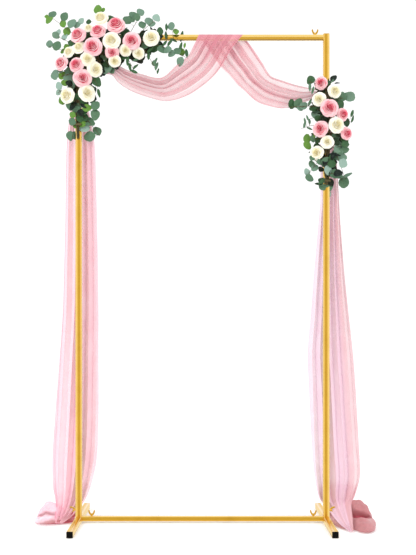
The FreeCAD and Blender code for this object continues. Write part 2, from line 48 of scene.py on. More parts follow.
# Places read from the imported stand
TOP_RAIL_LOW, TOP_RAIL_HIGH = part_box("top_rail")
FOOT_CAP_LOW, FOOT_CAP_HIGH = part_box("right_foot_front_cap")
POST_SIDE = FOOT_CAP_HIGH.x - FOOT_CAP_LOW.x
HALF_SPAN = FOOT_CAP_HIGH.x - POST_SIDE / 2


# Scene helpers

def finished(obj, material, replaced):
    """Gives a made piece its material and smooth faces, and ties it to the stand."""
    obj.data.materials.append(material)
    for polygon in obj.data.polygons:
        polygon.use_smooth = True
    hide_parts(*replaced)
    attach(obj, "root")


def mesh_object(name, points, faces, **values):
    """New object in the scene from points and faces, with named numbers for each point."""
    mesh = bpy.data.meshes.new(name)
    mesh.from_pydata(points, [], faces)
    for label, numbers in values.items():
        mesh.attributes.new(label, "FLOAT", "POINT").data.foreach_set("value", numbers)
    obj = bpy.data.objects.new(name, mesh)
    bpy.context.scene.collection.objects.link(obj)
    return obj


def new_model(add, **settings):
    """Loose mesh added by an operator, as the only selected object."""
    bpy.ops.object.select_all(action="DESELECT")
    add(**settings)
    return bpy.context.object


def taken(obj, tones):
    """Points, faces and tones of a loose mesh, which is then removed."""
    points = [vertex.co.copy() for vertex in obj.data.vertices]
    faces = [list(side.vertices) for side in obj.data.polygons]
    bpy.data.objects.remove(obj)
    return points, faces, tones


def add_copy(store, model, matrix, new_tones=None):
    """Adds a moved copy of a model to a store. Both hold points, faces and tones."""
    points, faces, tones = store
    start = len(points)
    points += [matrix @ point for point in model[0]]
    faces += [[start + k for k in face] for face in model[1]]
    tones += new_tones or model[2]


def metres(rows, kept=0):
    """Rows of millimetres as metres. The last numbers of each row can be kept as they are."""
    made = []
    for row in rows:
        cut = len(row) - kept
        made.append([number / 1000 for number in row[:cut]] + list(row[cut:]))
    return made


# Shader helpers

def wire(tree, sockets, values):
    """Links or sets the inputs of a node."""
    for key, value in values.items():
        if isinstance(value, bpy.types.NodeSocket):
            tree.links.new(value, sockets[key])
        else:
            sockets[key].default_value = value


def node(tree, kind, inputs=None, **settings):
    """Adds a shader node of a kind, with links or values for its inputs."""
    made = tree.nodes.new(f"ShaderNode{kind}")
    for key, value in settings.items():
        setattr(made, key, value)
    wire(tree, made.inputs, inputs or {})
    return made


def maths(tree, operation, first, second=0.0):
    return node(tree, "Math", {0: first, 1: second}, operation=operation).outputs[0]


def vector_maths(tree, operation, inputs):
    return node(tree, "VectorMath", inputs, operation=operation).outputs[0]


def step_up(tree, value, low, high, start=0.0, end=1.0):
    """Value that runs smoothly from start to end while the input runs from low to high."""
    inputs = {"Value": value, "From Min": low, "From Max": high, "To Min": start, "To Max": end}
    return node(tree, "MapRange", inputs, interpolation_type="SMOOTHSTEP").outputs["Result"]


def blend_colour(tree, factor, first, second):
    return node(tree, "Mix", {0: factor, 6: first, 7: second}, data_type="RGBA").outputs[2]


def own_place(tree):
    """Place on the object itself."""
    return node(tree, "TexCoord").outputs["Object"]


def speckle(tree, place, scale, detail):
    inputs = {"Vector": place, "Scale": scale, "Detail": detail}
    return node(tree, "TexNoise", inputs).outputs["Fac"]


def relief(tree, height, strength, distance):
    """Normals bumped by a height."""
    inputs = {"Height": height, "Strength": strength, "Distance": distance}
    return node(tree, "Bump", inputs).outputs["Normal"]


def point_value(tree, label):
    """Number that a mesh holds for each of its points."""
    return node(tree, "Attribute", attribute_name=label).outputs["Fac"]


def new_material(name):
    """Material with its node tree and the inputs of its shader."""
    material = bpy.data.materials.new(name)
    material.use_nodes = True
    return material, material.node_tree, material.node_tree.nodes["Principled BSDF"].inputs


# Camera, light and floor

CAMERA_DISTANCE = 3.175
CAMERA_HEIGHT = 0.862
LENS = 50.26
SENSOR_WIDTH = 36.0
SHIFT = (0.0099, 0.0622)
WHITE = (1, 1, 1, 1)
FLOOR_SIZE = 60.0
FLOOR_DROP = 0.001  # keeps the floor clear of the feet's undersides
FLOOR_COLOUR = (0.93, 0.93, 0.93, 1)
FLOOR_GLOW = 0.15


def set_camera():
    data = bpy.data.cameras.new("camera")
    data.lens = LENS
    data.sensor_width = SENSOR_WIDTH
    data.shift_x, data.shift_y = SHIFT
    camera = bpy.data.objects.new("camera", data)
    camera.location = (0, -CAMERA_DISTANCE, CAMERA_HEIGHT)
    camera.rotation_euler = (math.pi / 2, 0, 0)
    bpy.context.scene.collection.objects.link(camera)
    bpy.context.scene.camera = camera


# What polished metal sees of the studio. Two numbers are the start and end of a blend, as parts of the
# direction looked in: sideways (X), towards the back (Y) or up (Z).
STUDIO_GAP = (0.20, 0.30)  # sideways in front: from the dark gap behind the camera to the screens
STUDIO_SCREEN = (0.46, 0.58)  # and on to the bright sides
STUDIO_TOP = (0.46, 0.60)  # up in front: to the bright ceiling
FRONT_LOW = (-0.40, -0.30)  # up in front: from the pale floor
BACK_BRIGHT = (0.12, 0.16)  # sideways behind the arch: from the bright middle to the screens
BACK_LOW = (-0.31, -0.29)  # up behind the arch: from the dim floor to the pale foot of the wall
BACK_FOOT = (-0.02, 0.02)  # up behind the arch: from that foot to the wall
FRONT_TO_BACK = (-0.1, 0.1)
GAP_COLOUR = (0.66, 0.58, 0.22, 1)
SCREEN_COLOUR = (0.92, 0.86, 0.66, 1)
BRIGHT_COLOUR = (1.06, 1.20, 1.75, 1)
DIM_COLOUR = (0.30, 0.27, 0.28, 1)
CREAM_COLOUR = (0.96, 0.95, 0.78, 1)
SKY_STRENGTH = 1.1
CLEAR_BOUNCES = 40  # layers of sheer cloth that a ray can pass


def light_studio():
    """White surroundings. Mirror-like surfaces see screens with a darker gap between them."""
    world = bpy.data.worlds.new("studio")
    bpy.context.scene.world = world
    world.use_nodes = True
    tree = world.node_tree
    direction = node(tree, "TexCoord").outputs["Generated"]
    x, y, z = node(tree, "SeparateXYZ", {0: direction}).outputs
    across = maths(tree, "ABSOLUTE", x)
    gap = blend_colour(tree, step_up(tree, across, *STUDIO_GAP), GAP_COLOUR, SCREEN_COLOUR)
    walls = blend_colour(tree, step_up(tree, across, *STUDIO_SCREEN), gap, BRIGHT_COLOUR)
    grounded = blend_colour(tree, step_up(tree, z, *FRONT_LOW), SCREEN_COLOUR, walls)
    front = blend_colour(tree, step_up(tree, z, *STUDIO_TOP), grounded, BRIGHT_COLOUR)
    high = blend_colour(tree, step_up(tree, across, *BACK_BRIGHT), BRIGHT_COLOUR, SCREEN_COLOUR)
    low = blend_colour(tree, step_up(tree, z, *BACK_LOW), DIM_COLOUR, CREAM_COLOUR)
    back = blend_colour(tree, step_up(tree, z, *BACK_FOOT), low, high)
    mirrored = blend_colour(tree, step_up(tree, y, *FRONT_TO_BACK, 1.0, 0.0), back, front)
    glossy = node(tree, "LightPath").outputs["Is Glossy Ray"]
    seen = blend_colour(tree, glossy, WHITE, mirrored)
    wire(tree, tree.nodes["Background"].inputs, {"Color": seen, "Strength": SKY_STRENGTH})
    bpy.context.scene.view_settings.view_transform = "Standard"
    bpy.context.scene.cycles.transparent_max_bounces = CLEAR_BOUNCES


def soft_light(name, place, aim, size, power):
    """Soft box that lights the arch and doesn't show in its reflections."""
    data = bpy.data.lights.new(name, "AREA")
    data.shape = "DISK"
    data.size = size
    data.energy = power
    lamp = bpy.data.objects.new(name, data)
    lamp.location = place
    lamp.rotation_euler = (Vector(aim) - Vector(place)).to_track_quat("-Z", "Y").to_euler()
    lamp.visible_glossy = False
    bpy.context.scene.collection.objects.link(lamp)


def lay_floor():
    """Pale floor that goes white under the studio light."""
    add = bpy.ops.mesh.primitive_plane_add
    floor = new_model(add, size=FLOOR_SIZE, location=(0, 0, -FLOOR_DROP))
    floor.name = "floor"
    material, tree, shader = new_material("pale_floor")
    wire(tree, shader, {
        "Base Color": FLOOR_COLOUR, "Roughness": 0.9, "Specular IOR Level": 0.0, "Emission Color": WHITE,
        "Emission Strength": FLOOR_GLOW,
    })
    floor.data.materials.append(material)
    floor.visible_glossy = False


# Stand

GOLD = (0.87, 0.545, 0.13, 1)
WORN_GOLD = (0.80, 0.49, 0.11, 1)
POLISH = 0.16  # roughness of clean plate
POST_BOW, FOOT_BOW, RAIL_BOW = 52.0, 12.0, 48.0  # lean of a wall's normals per metre off its middle
RAIL_BOW_DROP = 0.004  # the rails' bow runs below their middle
PLASTIC_DARK, PLASTIC_PALE = (0.001, 0.001, 0.001, 1), (0.003, 0.003, 0.003, 1)


def new_group(name, inputs, outputs):
    """Node group with named sockets, and its input and output nodes."""
    tree = bpy.data.node_groups.new(name, "ShaderNodeTree")
    for label, kind, value in inputs:
        socket = tree.interface.new_socket(name=label, in_out="INPUT", socket_type=f"NodeSocket{kind}")
        socket.default_value = value
    for label, kind in outputs:
        tree.interface.new_socket(name=label, in_out="OUTPUT", socket_type=f"NodeSocket{kind}")
    return tree, tree.nodes.new("NodeGroupInput").outputs, tree.nodes.new("NodeGroupOutput").inputs


def bowed_face_group():
    """Face normals of a drawn square tube, whose walls bow out slightly between its corners."""
    tree, given, result = new_group(
        "bowed_face",
        [("Centre", "Vector", (0, 0, 0)), ("Across", "Vector", (1, 1, 0)), ("Bow", "Float", POST_BOW)],
        [("Normal", "Vector")],
    )
    offset = vector_maths(tree, "SUBTRACT", {0: own_place(tree), 1: given["Centre"]})
    across = vector_maths(tree, "MULTIPLY", {0: offset, 1: given["Across"]})
    bow = vector_maths(tree, "SCALE", {0: across, 3: given["Bow"]})
    flat = node(tree, "NewGeometry").outputs["Normal"]
    bent = vector_maths(tree, "ADD", {0: flat, 1: bow})
    wire(tree, result, {"Normal": vector_maths(tree, "NORMALIZE", {0: bent})})
    return tree


def plating_group():
    """Uneven plating: faint clouds in the colour and faint smears in the polish."""
    tree, given, result = new_group(
        "plating",
        [("Colour", "Color", WHITE), ("Worn Colour", "Color", WHITE), ("Polish", "Float", POLISH)],
        [("Colour", "Color"), ("Roughness", "Float")],
    )
    place = own_place(tree)
    clouds = step_up(tree, speckle(tree, place, 14.0, 4.0), 0.45, 0.75)
    smears = step_up(tree, speckle(tree, place, 120.0, 5.0), 0.4, 0.8, 0.0, 0.10)
    wire(tree, result, {
        "Colour": blend_colour(tree, clouds, given["Colour"], given["Worn Colour"]),
        "Roughness": maths(tree, "ADD", given["Polish"], smears),
    })
    return tree


def gold(name, bowed, plating, tube=None):
    """Polished gold plate. A tube gives its middle line, the directions across it and its bow."""
    material, tree, shader = new_material(name)
    finish = node(tree, "Group", {"Colour": GOLD, "Worn Colour": WORN_GOLD}, node_tree=plating)
    wire(tree, shader, {
        "Base Color": finish.outputs["Colour"], "Roughness": finish.outputs["Roughness"], "Metallic": 1.0,
    })
    if tube:
        face = node(tree, "Group", dict(zip(("Centre", "Across", "Bow"), tube)), node_tree=bowed)
        wire(tree, shader, {"Normal": face.outputs["Normal"]})
    return material


def black_plastic():
    """Moulded plastic with a fine grain."""
    material, tree, shader = new_material("black_plastic")
    grain = speckle(tree, own_place(tree), 900.0, 3.0)
    wire(tree, shader, {
        "Base Color": blend_colour(tree, grain, PLASTIC_DARK, PLASTIC_PALE),
        "Roughness": step_up(tree, grain, 0.3, 0.7, 0.42, 0.58), "Specular IOR Level": 0.1,
        "Normal": relief(tree, grain, 0.15, 0.0005),
    })
    return material


def coat_node(name, material):
    """Gives a kept node of the stand its material."""
    mesh = NODES[name].data
    mesh.materials.clear()
    mesh.materials.append(material)


def finish_stand():
    bowed, plating = bowed_face_group(), plating_group()
    plastic = black_plastic()
    screw, cap = gold("gold_screw", bowed, plating), gold("gold_cap", bowed, plating)
    for name, side in (("left", -1), ("right", 1)):
        middle = side * HALF_SPAN
        post = gold(f"gold_{name}_upright", bowed, plating, ((middle, 0, 0), (1, 1, 0), POST_BOW))
        foot = gold(f"gold_{name}_foot", bowed, plating, ((middle, 0, POST_SIDE / 2), (1, 0, 1), FOOT_BOW))
        for piece, material in (
            ("upright", post), ("foot", foot), ("foot_front_cap", plastic), ("foot_back_cap", plastic),
            ("top_cap", cap), ("upright_screw", screw), ("top_rail_screw", screw),
            ("bottom_rail_screw", screw),
        ):
            coat_node(f"{name}_{piece}", material)
    for name in ("top_rail", "bottom_rail"):
        low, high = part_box(name)
        middle = (0, 0, (low.z + high.z) / 2 - RAIL_BOW_DROP)
        coat_node(name, gold(f"gold_{name}", bowed, plating, (middle, (0, 1, 1), RAIL_BOW)))


# Scarf

SCARF_WIDTH = 0.36
THREADS = 160.0  # scale of the weave
LIGHT_THROUGH = 0.15  # painted glow, standing in for light that passes through from behind
# painted shade: the colour of cloth in shadow, reached at a tint of 2
SHADED = (0.42, 0.05, 0.08, 1)
FRONT = Vector((0, -1, 0))
BAR_GAP = 0.0015
CLOTH_REST = 0.002  # height of the lowest cloth over the floor
CLOTH_LIFT = 0.002  # how much higher its folds lie there


def chiffon(name, thin, packed, opacity):
    """Sheer cloth. Its gather says how many layers' worth of cloth lie at a point, and its tint runs
    from thin cloth at 0 over packed cloth, darkened with painted shade, at 1 to painted shade at 2."""
    material, tree, shader = new_material(name)
    gather, tint = point_value(tree, "gather"), point_value(tree, "tint")
    weave_map = node(tree, "UVMap", uv_map="cloth").outputs["UV"]
    inputs = {"Vector": weave_map, "Scale": THREADS, "Distortion": 0.6}
    threads = [node(tree, "TexWave", inputs, bands_direction=way).outputs["Fac"] for way in "XY"]
    weave = maths(tree, "MULTIPLY", *threads)
    clouds = step_up(tree, speckle(tree, weave_map, 9.0, 3.0), 0.2, 0.8, 0.8, 1.2)
    clear = maths(tree, "POWER", 1.0 - opacity, maths(tree, "MULTIPLY", gather, clouds))
    cover = maths(tree, "SUBTRACT", 1.0, clear)
    # thin cloth towards packed cloth whose colour holds painted shade, then on to the painted shade
    thin_to_shaded_packed = blend_colour(tree, step_up(tree, tint, 0.0, 1.0), thin, packed)
    colour = blend_colour(tree, step_up(tree, tint, 1.0, 2.0), thin_to_shaded_packed, SHADED)
    wire(tree, shader, {
        "Base Color": colour, "Emission Color": colour, "Emission Strength": LIGHT_THROUGH,
        "Alpha": maths(tree, "MULTIPLY", cover, step_up(tree, weave, 0.0, 0.5, 0.96, 1.02)),
        "Normal": relief(tree, weave, 0.04, 0.0003), "Roughness": 0.85, "Sheen Weight": 0.1,
        "Specular IOR Level": 0.2,
    })
    return material


def smooth_rows(stations, rows):
    """Rows spaced along a cloth, from a few stations of numbers, smoothed between them."""
    last = len(stations) - 1
    made = []
    for row in range(rows + 1):
        place = last * row / rows
        k = min(int(place), last - 1)
        t = place - k
        before, start = stations[max(k - 1, 0)], stations[k]
        end, after = stations[k + 1], stations[min(k + 2, last)]
        made.append([
            b + 0.5 * t * ((c - a) + t * (2 * a - 5 * b + 4 * c - d + t * (3 * (b - c) + d - a)))
            for a, b, c, d in zip(before, start, end, after)
        ])
    return made


def between(bands, place):
    """Layers and tint at a place across, from bands of (place, layers, tint)."""
    for (p0, l0, t0), (p1, l1, t1) in zip(bands, bands[1:]):
        if place <= p1:
            part = (place - p0) / (p1 - p0)
            return l0 + (l1 - l0) * part, t0 + (t1 - t0) * part
    return bands[-1][1], bands[-1][2]


def cloth_object(name, rows, columns, points, uvs, gathers, tints):
    """Sheet from a grid of points, with its weave's UV map, how thick it looks and how far its colour runs
    towards packed cloth and painted shade.
    """
    faces = []
    for row in range(rows):
        for column in range(columns):
            a = row * (columns + 1) + column
            faces.append((a, a + 1, a + columns + 2, a + columns + 1))
    obj = mesh_object(name, points, faces, gather=gathers, tint=tints)
    layer = obj.data.uv_layers.new(name="cloth")
    for loop in obj.data.loops:
        layer.data[loop.index].uv = uvs[loop.vertex_index]
    obj.visible_glossy = False
    return obj


def ripple(*place):
    """Smooth noise from -1 to 1."""
    return noise.noise(Vector(place))


FOLD_DRIFT = 1.6  # radians by which folds wander sideways
FOLD_SIZE, FOLD_VARIETY = 0.93, 0.5
FOLD_LEAN = 0.20  # how far a fold leans over the next
FINE_FOLD = 0.03
FLAT_LAYERS, FLAT_START = 4.0, 0.3  # layers where the depth of the folds runs out
LOW_START, LOW_RUN = 0.16, 0.07  # height under which a fall grows denser, and over what drop
THINNEST, THICKEST = 0.15, 6.0  # layers


def fold_cloth(
    name, stations, folds, outward, bands, fullness, seed, streaks, rows, columns=168, most=6.0, dense_low=0.0
):
    """Folded cloth between two edges. A station holds the two edges' X, Y and Z, then the share of the
    full fold depth there. Where the folds are pressed flat, more layers lie on each other."""
    points, uvs, gathers, tints = [], [], [], []
    for row, values in enumerate(smooth_rows(stations, rows)):
        first, second, share = Vector(values[0:3]), Vector(values[3:6]), values[6]
        across = second - first
        width = across.length
        along = row / rows
        normal = outward(along).normalized()
        ratio = min(fullness, SCARF_WIDTH / width)
        deep = width / folds / 4 * math.sqrt(max(ratio * ratio - 1, 0)) * share
        packed = min(most, (SCARF_WIDTH / width / ratio) ** 1.5 * (1 + 1.3 * max(0.0, 1 - share)))
        for column in range(columns + 1):
            u = column / columns
            drift = FOLD_DRIFT * ripple(u * 3.0, along * 1.6, seed)
            phase = 2 * math.pi * folds * u + drift
            size = FOLD_SIZE + FOLD_VARIETY * ripple(u * folds * 0.9, along * 1.5, seed + 7)
            wave = math.sin(phase)
            place = u + FOLD_LEAN / folds * math.sin(2 * phase) / 2
            fine = FINE_FOLD * math.sin(3.1 * phase + 4 * drift) * size
            point = first + across * place + normal * (deep * (wave * size + fine))
            points.append(Vector((point.x, point.y, max(point.z, CLOTH_REST + CLOTH_LIFT * (1 + wave)))))
            uvs.append((u * SCARF_WIDTH * 2, along * 3.0))
            layers, tint = between(bands, u)
            layers = max(layers, FLAT_LAYERS * (1 - share / FLAT_START))
            layers *= 1 + dense_low * max(0.0, min(1.0, (LOW_START - point.z) / LOW_RUN))
            bend = u + 0.03 * math.sin(6 * along + seed)
            streak = 1 + streaks * (
                0.6 * max(0.0, -wave) ** 3 - 0.1 + 1.1 * ripple(bend * 7, along * 0.9, seed + 3)
                + 0.7 * ripple(bend * 19, along * 1.1, seed + 5)
            )
            gathers.append(max(THINNEST, min(THICKEST, layers * streak * packed)))
            # the tint, which runs towards painted shade, rises along the streaks and where the cloth is
            # packed
            tints.append(tint + 0.35 * streaks * max(0.0, streak - 1) + 0.5 * min(2.0, packed - 1))
    return cloth_object(name, rows, columns, points, uvs, gathers, tints)


HEAP_GRID = 90
HEAP_RUFFLE, RUFFLE_START = 0.009, 0.008  # how far the heap's surface wanders, and from what height
HEAP_MOTTLE, HEAP_THINNEST = 0.22, 0.3


def heap_cloth(name, side, stations):
    """Cloth heaped on the floor, from its sections in millimetres."""
    flat = []
    for out, line in stations:
        flat.append([])
        for y, z, *cloth in line:
            layers, tint = cloth or (layers, tint)
            flat[-1] += [side * out / 1000, y / 1000, z / 1000, layers, tint]
    points, uvs, gathers, tints = [], [], [], []
    for row, values in enumerate(smooth_rows(flat, HEAP_GRID)):
        line = [values[k:k + 5] for k in range(0, len(values), 5)]
        for column, (x, y, z, layers, tint) in enumerate(smooth_rows(line, HEAP_GRID)):
            rise = HEAP_RUFFLE * ripple(x * 46, y * 34, z * 40 + side) if z > RUFFLE_START else 0
            points.append(Vector((x, y - rise, max(z + rise, CLOTH_REST))))
            uvs.append((row / HEAP_GRID * 0.5, column / HEAP_GRID))
            mottle = 1 + HEAP_MOTTLE * ripple(x * 60, y * 18, z * 40)
            gathers.append(max(HEAP_THINNEST, layers * mottle))
            tints.append(max(0.0, tint))
    return cloth_object(name, HEAP_GRID, HEAP_GRID, points, uvs, gathers, tints)


BAR_FRONT = TOP_RAIL_LOW.y - BAR_GAP
BAR_BACK = TOP_RAIL_HIGH.y + BAR_GAP
BAR_TOP = TOP_RAIL_HIGH.z + BAR_GAP
BAR_EDGE = BAR_TOP - 0.004

# Along the looped scarf from the left neck, over the top rail and down behind it to the right neck: each
# row's left or upper edge and its other edge as X and Z, then Y, all in millimetres, then the share of
# the fold depth.
LOOPS = metres([
    (-480, 1850, -480, 1814, 22, 0.8), (-420, 1868, -420, 1834, 4, 0.9), (-353, 1871, -373, 1831, -12, 1),
    (-303, 1847, -340, 1794, -20, 1), (-246, 1831, -283, 1758, -22, 1), (-191, 1816, -193, 1727, -24, 1),
    (-154, 1823, -136, 1720, -24, 1), (-110, 1864, -67, 1740, -24, 1), (-78, 1890, -9, 1776, -22, 1),
    (-56, 1910, 43, 1820, -21, 1), (-45, 1928, 80, 1868, -19, 0.8), (-34, 1950, 116, 1932, -16, 0.5),
    (-22, 1974, 149, 1976, -13, 0.2),
], 1) + [
    (-0.013, BAR_EDGE, 0.164, BAR_EDGE, BAR_FRONT, 0.06), (-0.012, BAR_TOP, 0.165, BAR_TOP, 0.0, 0.05),
    (-0.012, BAR_EDGE, 0.166, BAR_EDGE, BAR_BACK, 0.06),
] + metres([
    (4, 1974, 186, 1974, 13, 0.3), (34, 1930, 206, 1948, 14, 0.6), (70, 1876, 224, 1922, 15, 0.9),
    (108, 1836, 250, 1883, 15, 1), (139, 1798, 270, 1850, 15, 1), (175, 1765, 289, 1831, 15, 1),
    (216, 1727, 330, 1817, 15, 1), (264, 1708, 382, 1801, 16, 1), (330, 1697, 429, 1791, 18, 1),
    (400, 1715, 462, 1786, 20, 1), (447, 1735, 482, 1780, 22, 0.9), (487, 1732, 492, 1768, 24, 0.8),
], 1)
LOOP_FOLDS = 6
# Layers and tint at places across the cloth
LOOP_BANDS = [(0, 0.7, 0.1), (0.05, 1.7, 0.5), (0.13, 0.7, 0.1), (0.24, 1.9, 0.6), (0.35, 0.8, 0.1),
              (0.48, 2.1, 0.7), (0.60, 0.8, 0.1), (0.71, 1.7, 0.5), (0.82, 0.6, 0.0), (0.94, 0.7, 0.1),
              (0.98, 1.5, 0.5), (1, 0.9, 0.2)]

# Each fall of the scarf from its neck down to the floor and out over it: outer edge as distance out from
# the middle, depth and height, then the inner edge, all in millimetres, then the share of the fold depth.
LEFT_FALL = metres([
    (492, 22, 1850, 482, 22, 1850, 0.7), (520, 22, 1795, 494, 22, 1795, 0.7),
    (545, 24, 1700, 470, 24, 1700, 0.8), (563, 26, 1561, 445, 26, 1561, 1),
    (568, 28, 1390, 438, 28, 1390, 1), (571, 30, 1234, 434, 30, 1234, 1), (576, 30, 1040, 430, 30, 1040, 1),
    (581, 30, 866, 428, 30, 866, 1), (592, 30, 700, 428, 30, 700, 1), (603, 30, 540, 428, 30, 540, 1),
    (613, 30, 390, 430, 30, 390, 1), (620, 28, 250, 438, 28, 250, 1), (616, 24, 140, 462, 24, 140, 1),
    (608, 20, 96, 488, 18, 80, 1), (602, 4, 60, 512, 0, 50, 0.9), (602, -22, 30, 534, -18, 26, 0.8),
    (598, -42, 8, 566, -36, 6, 0.6),
], 1)
RIGHT_FALL = metres([
    (498, 24, 1765, 488, 24, 1765, 0.7), (519, 24, 1705, 494, 24, 1705, 0.7),
    (548, 26, 1560, 486, 26, 1560, 0.8), (563, 28, 1366, 490, 28, 1366, 1),
    (570, 30, 1242, 484, 30, 1242, 1), (587, 30, 1027, 466, 30, 1027, 1), (606, 30, 837, 452, 30, 837, 1),
    (621, 30, 697, 440, 30, 697, 1), (631, 28, 560, 443, 28, 560, 1), (638, 24, 430, 447, 26, 430, 1),
    (645, 16, 300, 452, 24, 300, 1), (648, 6, 190, 460, 22, 190, 1), (628, 4, 112, 478, 26, 98, 0.8),
    (610, -10, 78, 506, 25, 62, 0.5), (600, -80, 46, 530, -24, 30, 0.5),
    (592, -134, 20, 552, -100, 12, 0.5), (588, -152, 5, 574, -146, 4, 0.4),
], 1)
# Layers and tint across each fall, from the outer edge in
LEFT_BANDS = [(0, 1.6, 0.0), (0.22, 1.4, 0.0), (0.26, 0.5, 0.0), (0.30, 0.9, 0.0), (0.40, 1.8, 0.1),
              (0.45, 2.4, 0.4), (0.52, 2.2, 0.4), (0.70, 2.0, 0.6), (0.80, 2.0, 0.6), (0.90, 1.7, 0.5),
              (0.925, 1.0, 0.2), (0.97, 1.0, 0.1), (0.985, 1.5, 0.5), (1, 1.0, 0.2)]
RIGHT_BANDS = [(0, 1.6, 0.9), (0.03, 1.4, 0.8), (0.16, 1.4, 0.9), (0.20, 2.4, 0.8), (0.25, 2.4, 0.2),
               (0.45, 2.2, 0.1), (0.56, 2.4, 0.4), (0.66, 2.4, 0.4), (0.76, 1.7, 0.0), (0.90, 1.4, 0.0),
               (0.96, 1.0, 0.0), (1, 1.3, 0.0)]
FLOOR_START = 0.90  # share of a fall at which it turns out over the floor
# Cloth heaped beside each foot, in sections from the foot outwards: distance out, then depth, height,
# layers and tint along the section, in millimetres. A place without layers and tint has those of the
# one before. A tint over 1 is painted shade, beside the left foot and low down between the folds.
LEFT_HEAP = [
    (521.5, [(20, 20, 3, 2), (16, 34), (10, 46), (4, 44), (-2, 36), (-8, 24), (-12, 12), (-14, 6)]),
    (555, [(45, 6, 3, 2), (36, 30), (20, 34), (6, 28), (-4, 22), (-14, 14), (-22, 6), (-24, 3)]),
    (595, [(70, 4, 2, 0), (56, 50), (24, 66), (0, 44), (4, 30, 2, 0.7), (-30, 26, 2, 0.3),
     (-44, 10, 3, 1.7), (-36, 3, 3, 2)]),
    (640, [(80, 4, 2, 0), (62, 56), (24, 78, 1.6, 0), (-6, 52, 1.6, 0.1), (4, 34, 2, 0.8),
     (-36, 34, 1.6, 0), (-56, 14, 2, 0.6), (-44, 3, 3, 1.5)]),
    (668, [(66, 4, 2, 0), (52, 36), (22, 50, 1.6, 0), (-2, 36, 1.6, 0.1), (2, 26, 2, 0.8),
     (-28, 24, 1.6, 0), (-44, 12, 2, 0.4), (-34, 3, 2, 1)]),
    (684, [(34, 4, 2, 0), (28, 14), (16, 20), (4, 18), (0, 14, 2, 0.3), (-10, 12, 2, 0), (-18, 7, 2, 0.3),
     (-16, 3, 2, 0.5)]),
]
RIGHT_HEAP = [
    (521.5, [(30, 10, 2, 0.6), (20, 34), (8, 42), (-4, 34), (-14, 26), (-26, 18), (-38, 10), (-42, 4)]),
    (558, [(50, 8, 2, 0.6), (36, 36), (12, 40), (-14, 26), (-40, 16), (-70, 10), (-100, 7, 2, 0.8),
     (-104, 3, 2, 1)]),
    (596, [(60, 4, 3, 1), (44, 52), (14, 74), (-10, 52, 3, 1.1), (-6, 26, 4, 1.5), (-44, 28, 3, 1.2),
     (-112, 14, 3, 1), (-116, 3)]),
    (620, [(60, 4, 3, 1), (44, 60), (10, 86), (-30, 62, 3, 1.1), (-16, 24, 4, 1.8), (-66, 36, 3, 1.2),
     (-150, 18, 3, 1), (-152, 3)]),
    (648, [(60, 4, 3, 1), (44, 60), (6, 90, 3, 0.9), (-40, 60, 3, 1.1), (-20, 26, 4, 1.9),
     (-78, 38, 3, 1.3), (-164, 22, 3, 0.9), (-162, 4)]),
    (676, [(50, 4, 3, 1), (36, 46), (2, 64, 3, 0.9), (-40, 46, 3, 1.1), (-24, 26, 4, 1.9),
     (-70, 32, 3, 1.1), (-134, 20, 3, 0.9), (-132, 4)]),
    (690, [(24, 14, 3, 1), (18, 26), (-2, 36), (-26, 34), (-30, 24, 4, 1.7), (-50, 24, 3, 1), (-88, 16),
     (-86, 8)]),
]
FALL_FOLDS = 5
# Colours of the cloth where it is thin and where it is packed, and how much one layer covers. The packed
# colours are layered cloth darkened with painted shade.
LOOPS_LOOK = ((0.69, 0.33, 0.36, 1), (0.50, 0.19, 0.23, 1), 0.58)
FALL_THIN = {"left": (0.81, 0.46, 0.54, 1), "right": (0.70, 0.50, 0.59, 1)}
FALL_PACKED_SHADED, FALL_OPACITY = (0.64, 0.38, 0.41, 1), 0.62
POOL_THIN = {"left": (0.86, 0.58, 0.66, 1), "right": (0.55, 0.27, 0.29, 1)}
POOL_PACKED_SHADED, POOL_OPACITY = (0.46, 0.18, 0.19, 1), 0.5


def to_front(along):
    """Side of the loops that faces front, the same all along them."""
    return FRONT


def back_then_under(along):
    """Side of a fall that faces back, and under where the cloth turns out over the floor."""
    turn = max(0.0, (along - FLOOR_START) / (1 - FLOOR_START))
    return Vector((0, 1 - turn, -turn))


def drape_scarf():
    cloth = chiffon("chiffon_loops", *LOOPS_LOOK)
    stations = [(x0, y, z0, x1, y, z1, share) for x0, z0, x1, z1, y, share in LOOPS]
    loops = fold_cloth(
        "scarf_loops", stations, LOOP_FOLDS, to_front, LOOP_BANDS, fullness=5.5, seed=2.0, streaks=0.45,
        rows=300, columns=216,
    )
    finished(loops, cloth, ["left_swag", "bar_wrap", "right_swag"])
    for name, side, fall_line, bands, length, heap, dense_low in (
        ("left", -1, LEFT_FALL, LEFT_BANDS, 1.85, LEFT_HEAP, 0.3),
        ("right", 1, RIGHT_FALL, RIGHT_BANDS, 1.75, RIGHT_HEAP, 2.0),
    ):
        cloth = chiffon(f"chiffon_{name}", FALL_THIN[name], FALL_PACKED_SHADED, FALL_OPACITY)
        stations = [
            (side * x0, y0, z0, side * x1, y1, z1, share) for x0, y0, z0, x1, y1, z1, share in fall_line
        ]
        fall = fold_cloth(
            f"scarf_{name}_fall", stations, FALL_FOLDS, back_then_under, bands, fullness=3.1,
            seed=4.0 + side, streaks=0.22, rows=240, most=1.25, dense_low=dense_low,
        )
        finished(fall, cloth, [f"{name}_curtain"])
        pool = heap_cloth(f"scarf_{name}_pool", side, heap)
        cloth = chiffon(f"chiffon_{name}_pool", POOL_THIN[name], POOL_PACKED_SHADED, POOL_OPACITY)
        finished(pool, cloth, [f"{name}_pool"])


# Roses

PETAL_CUTS = 9
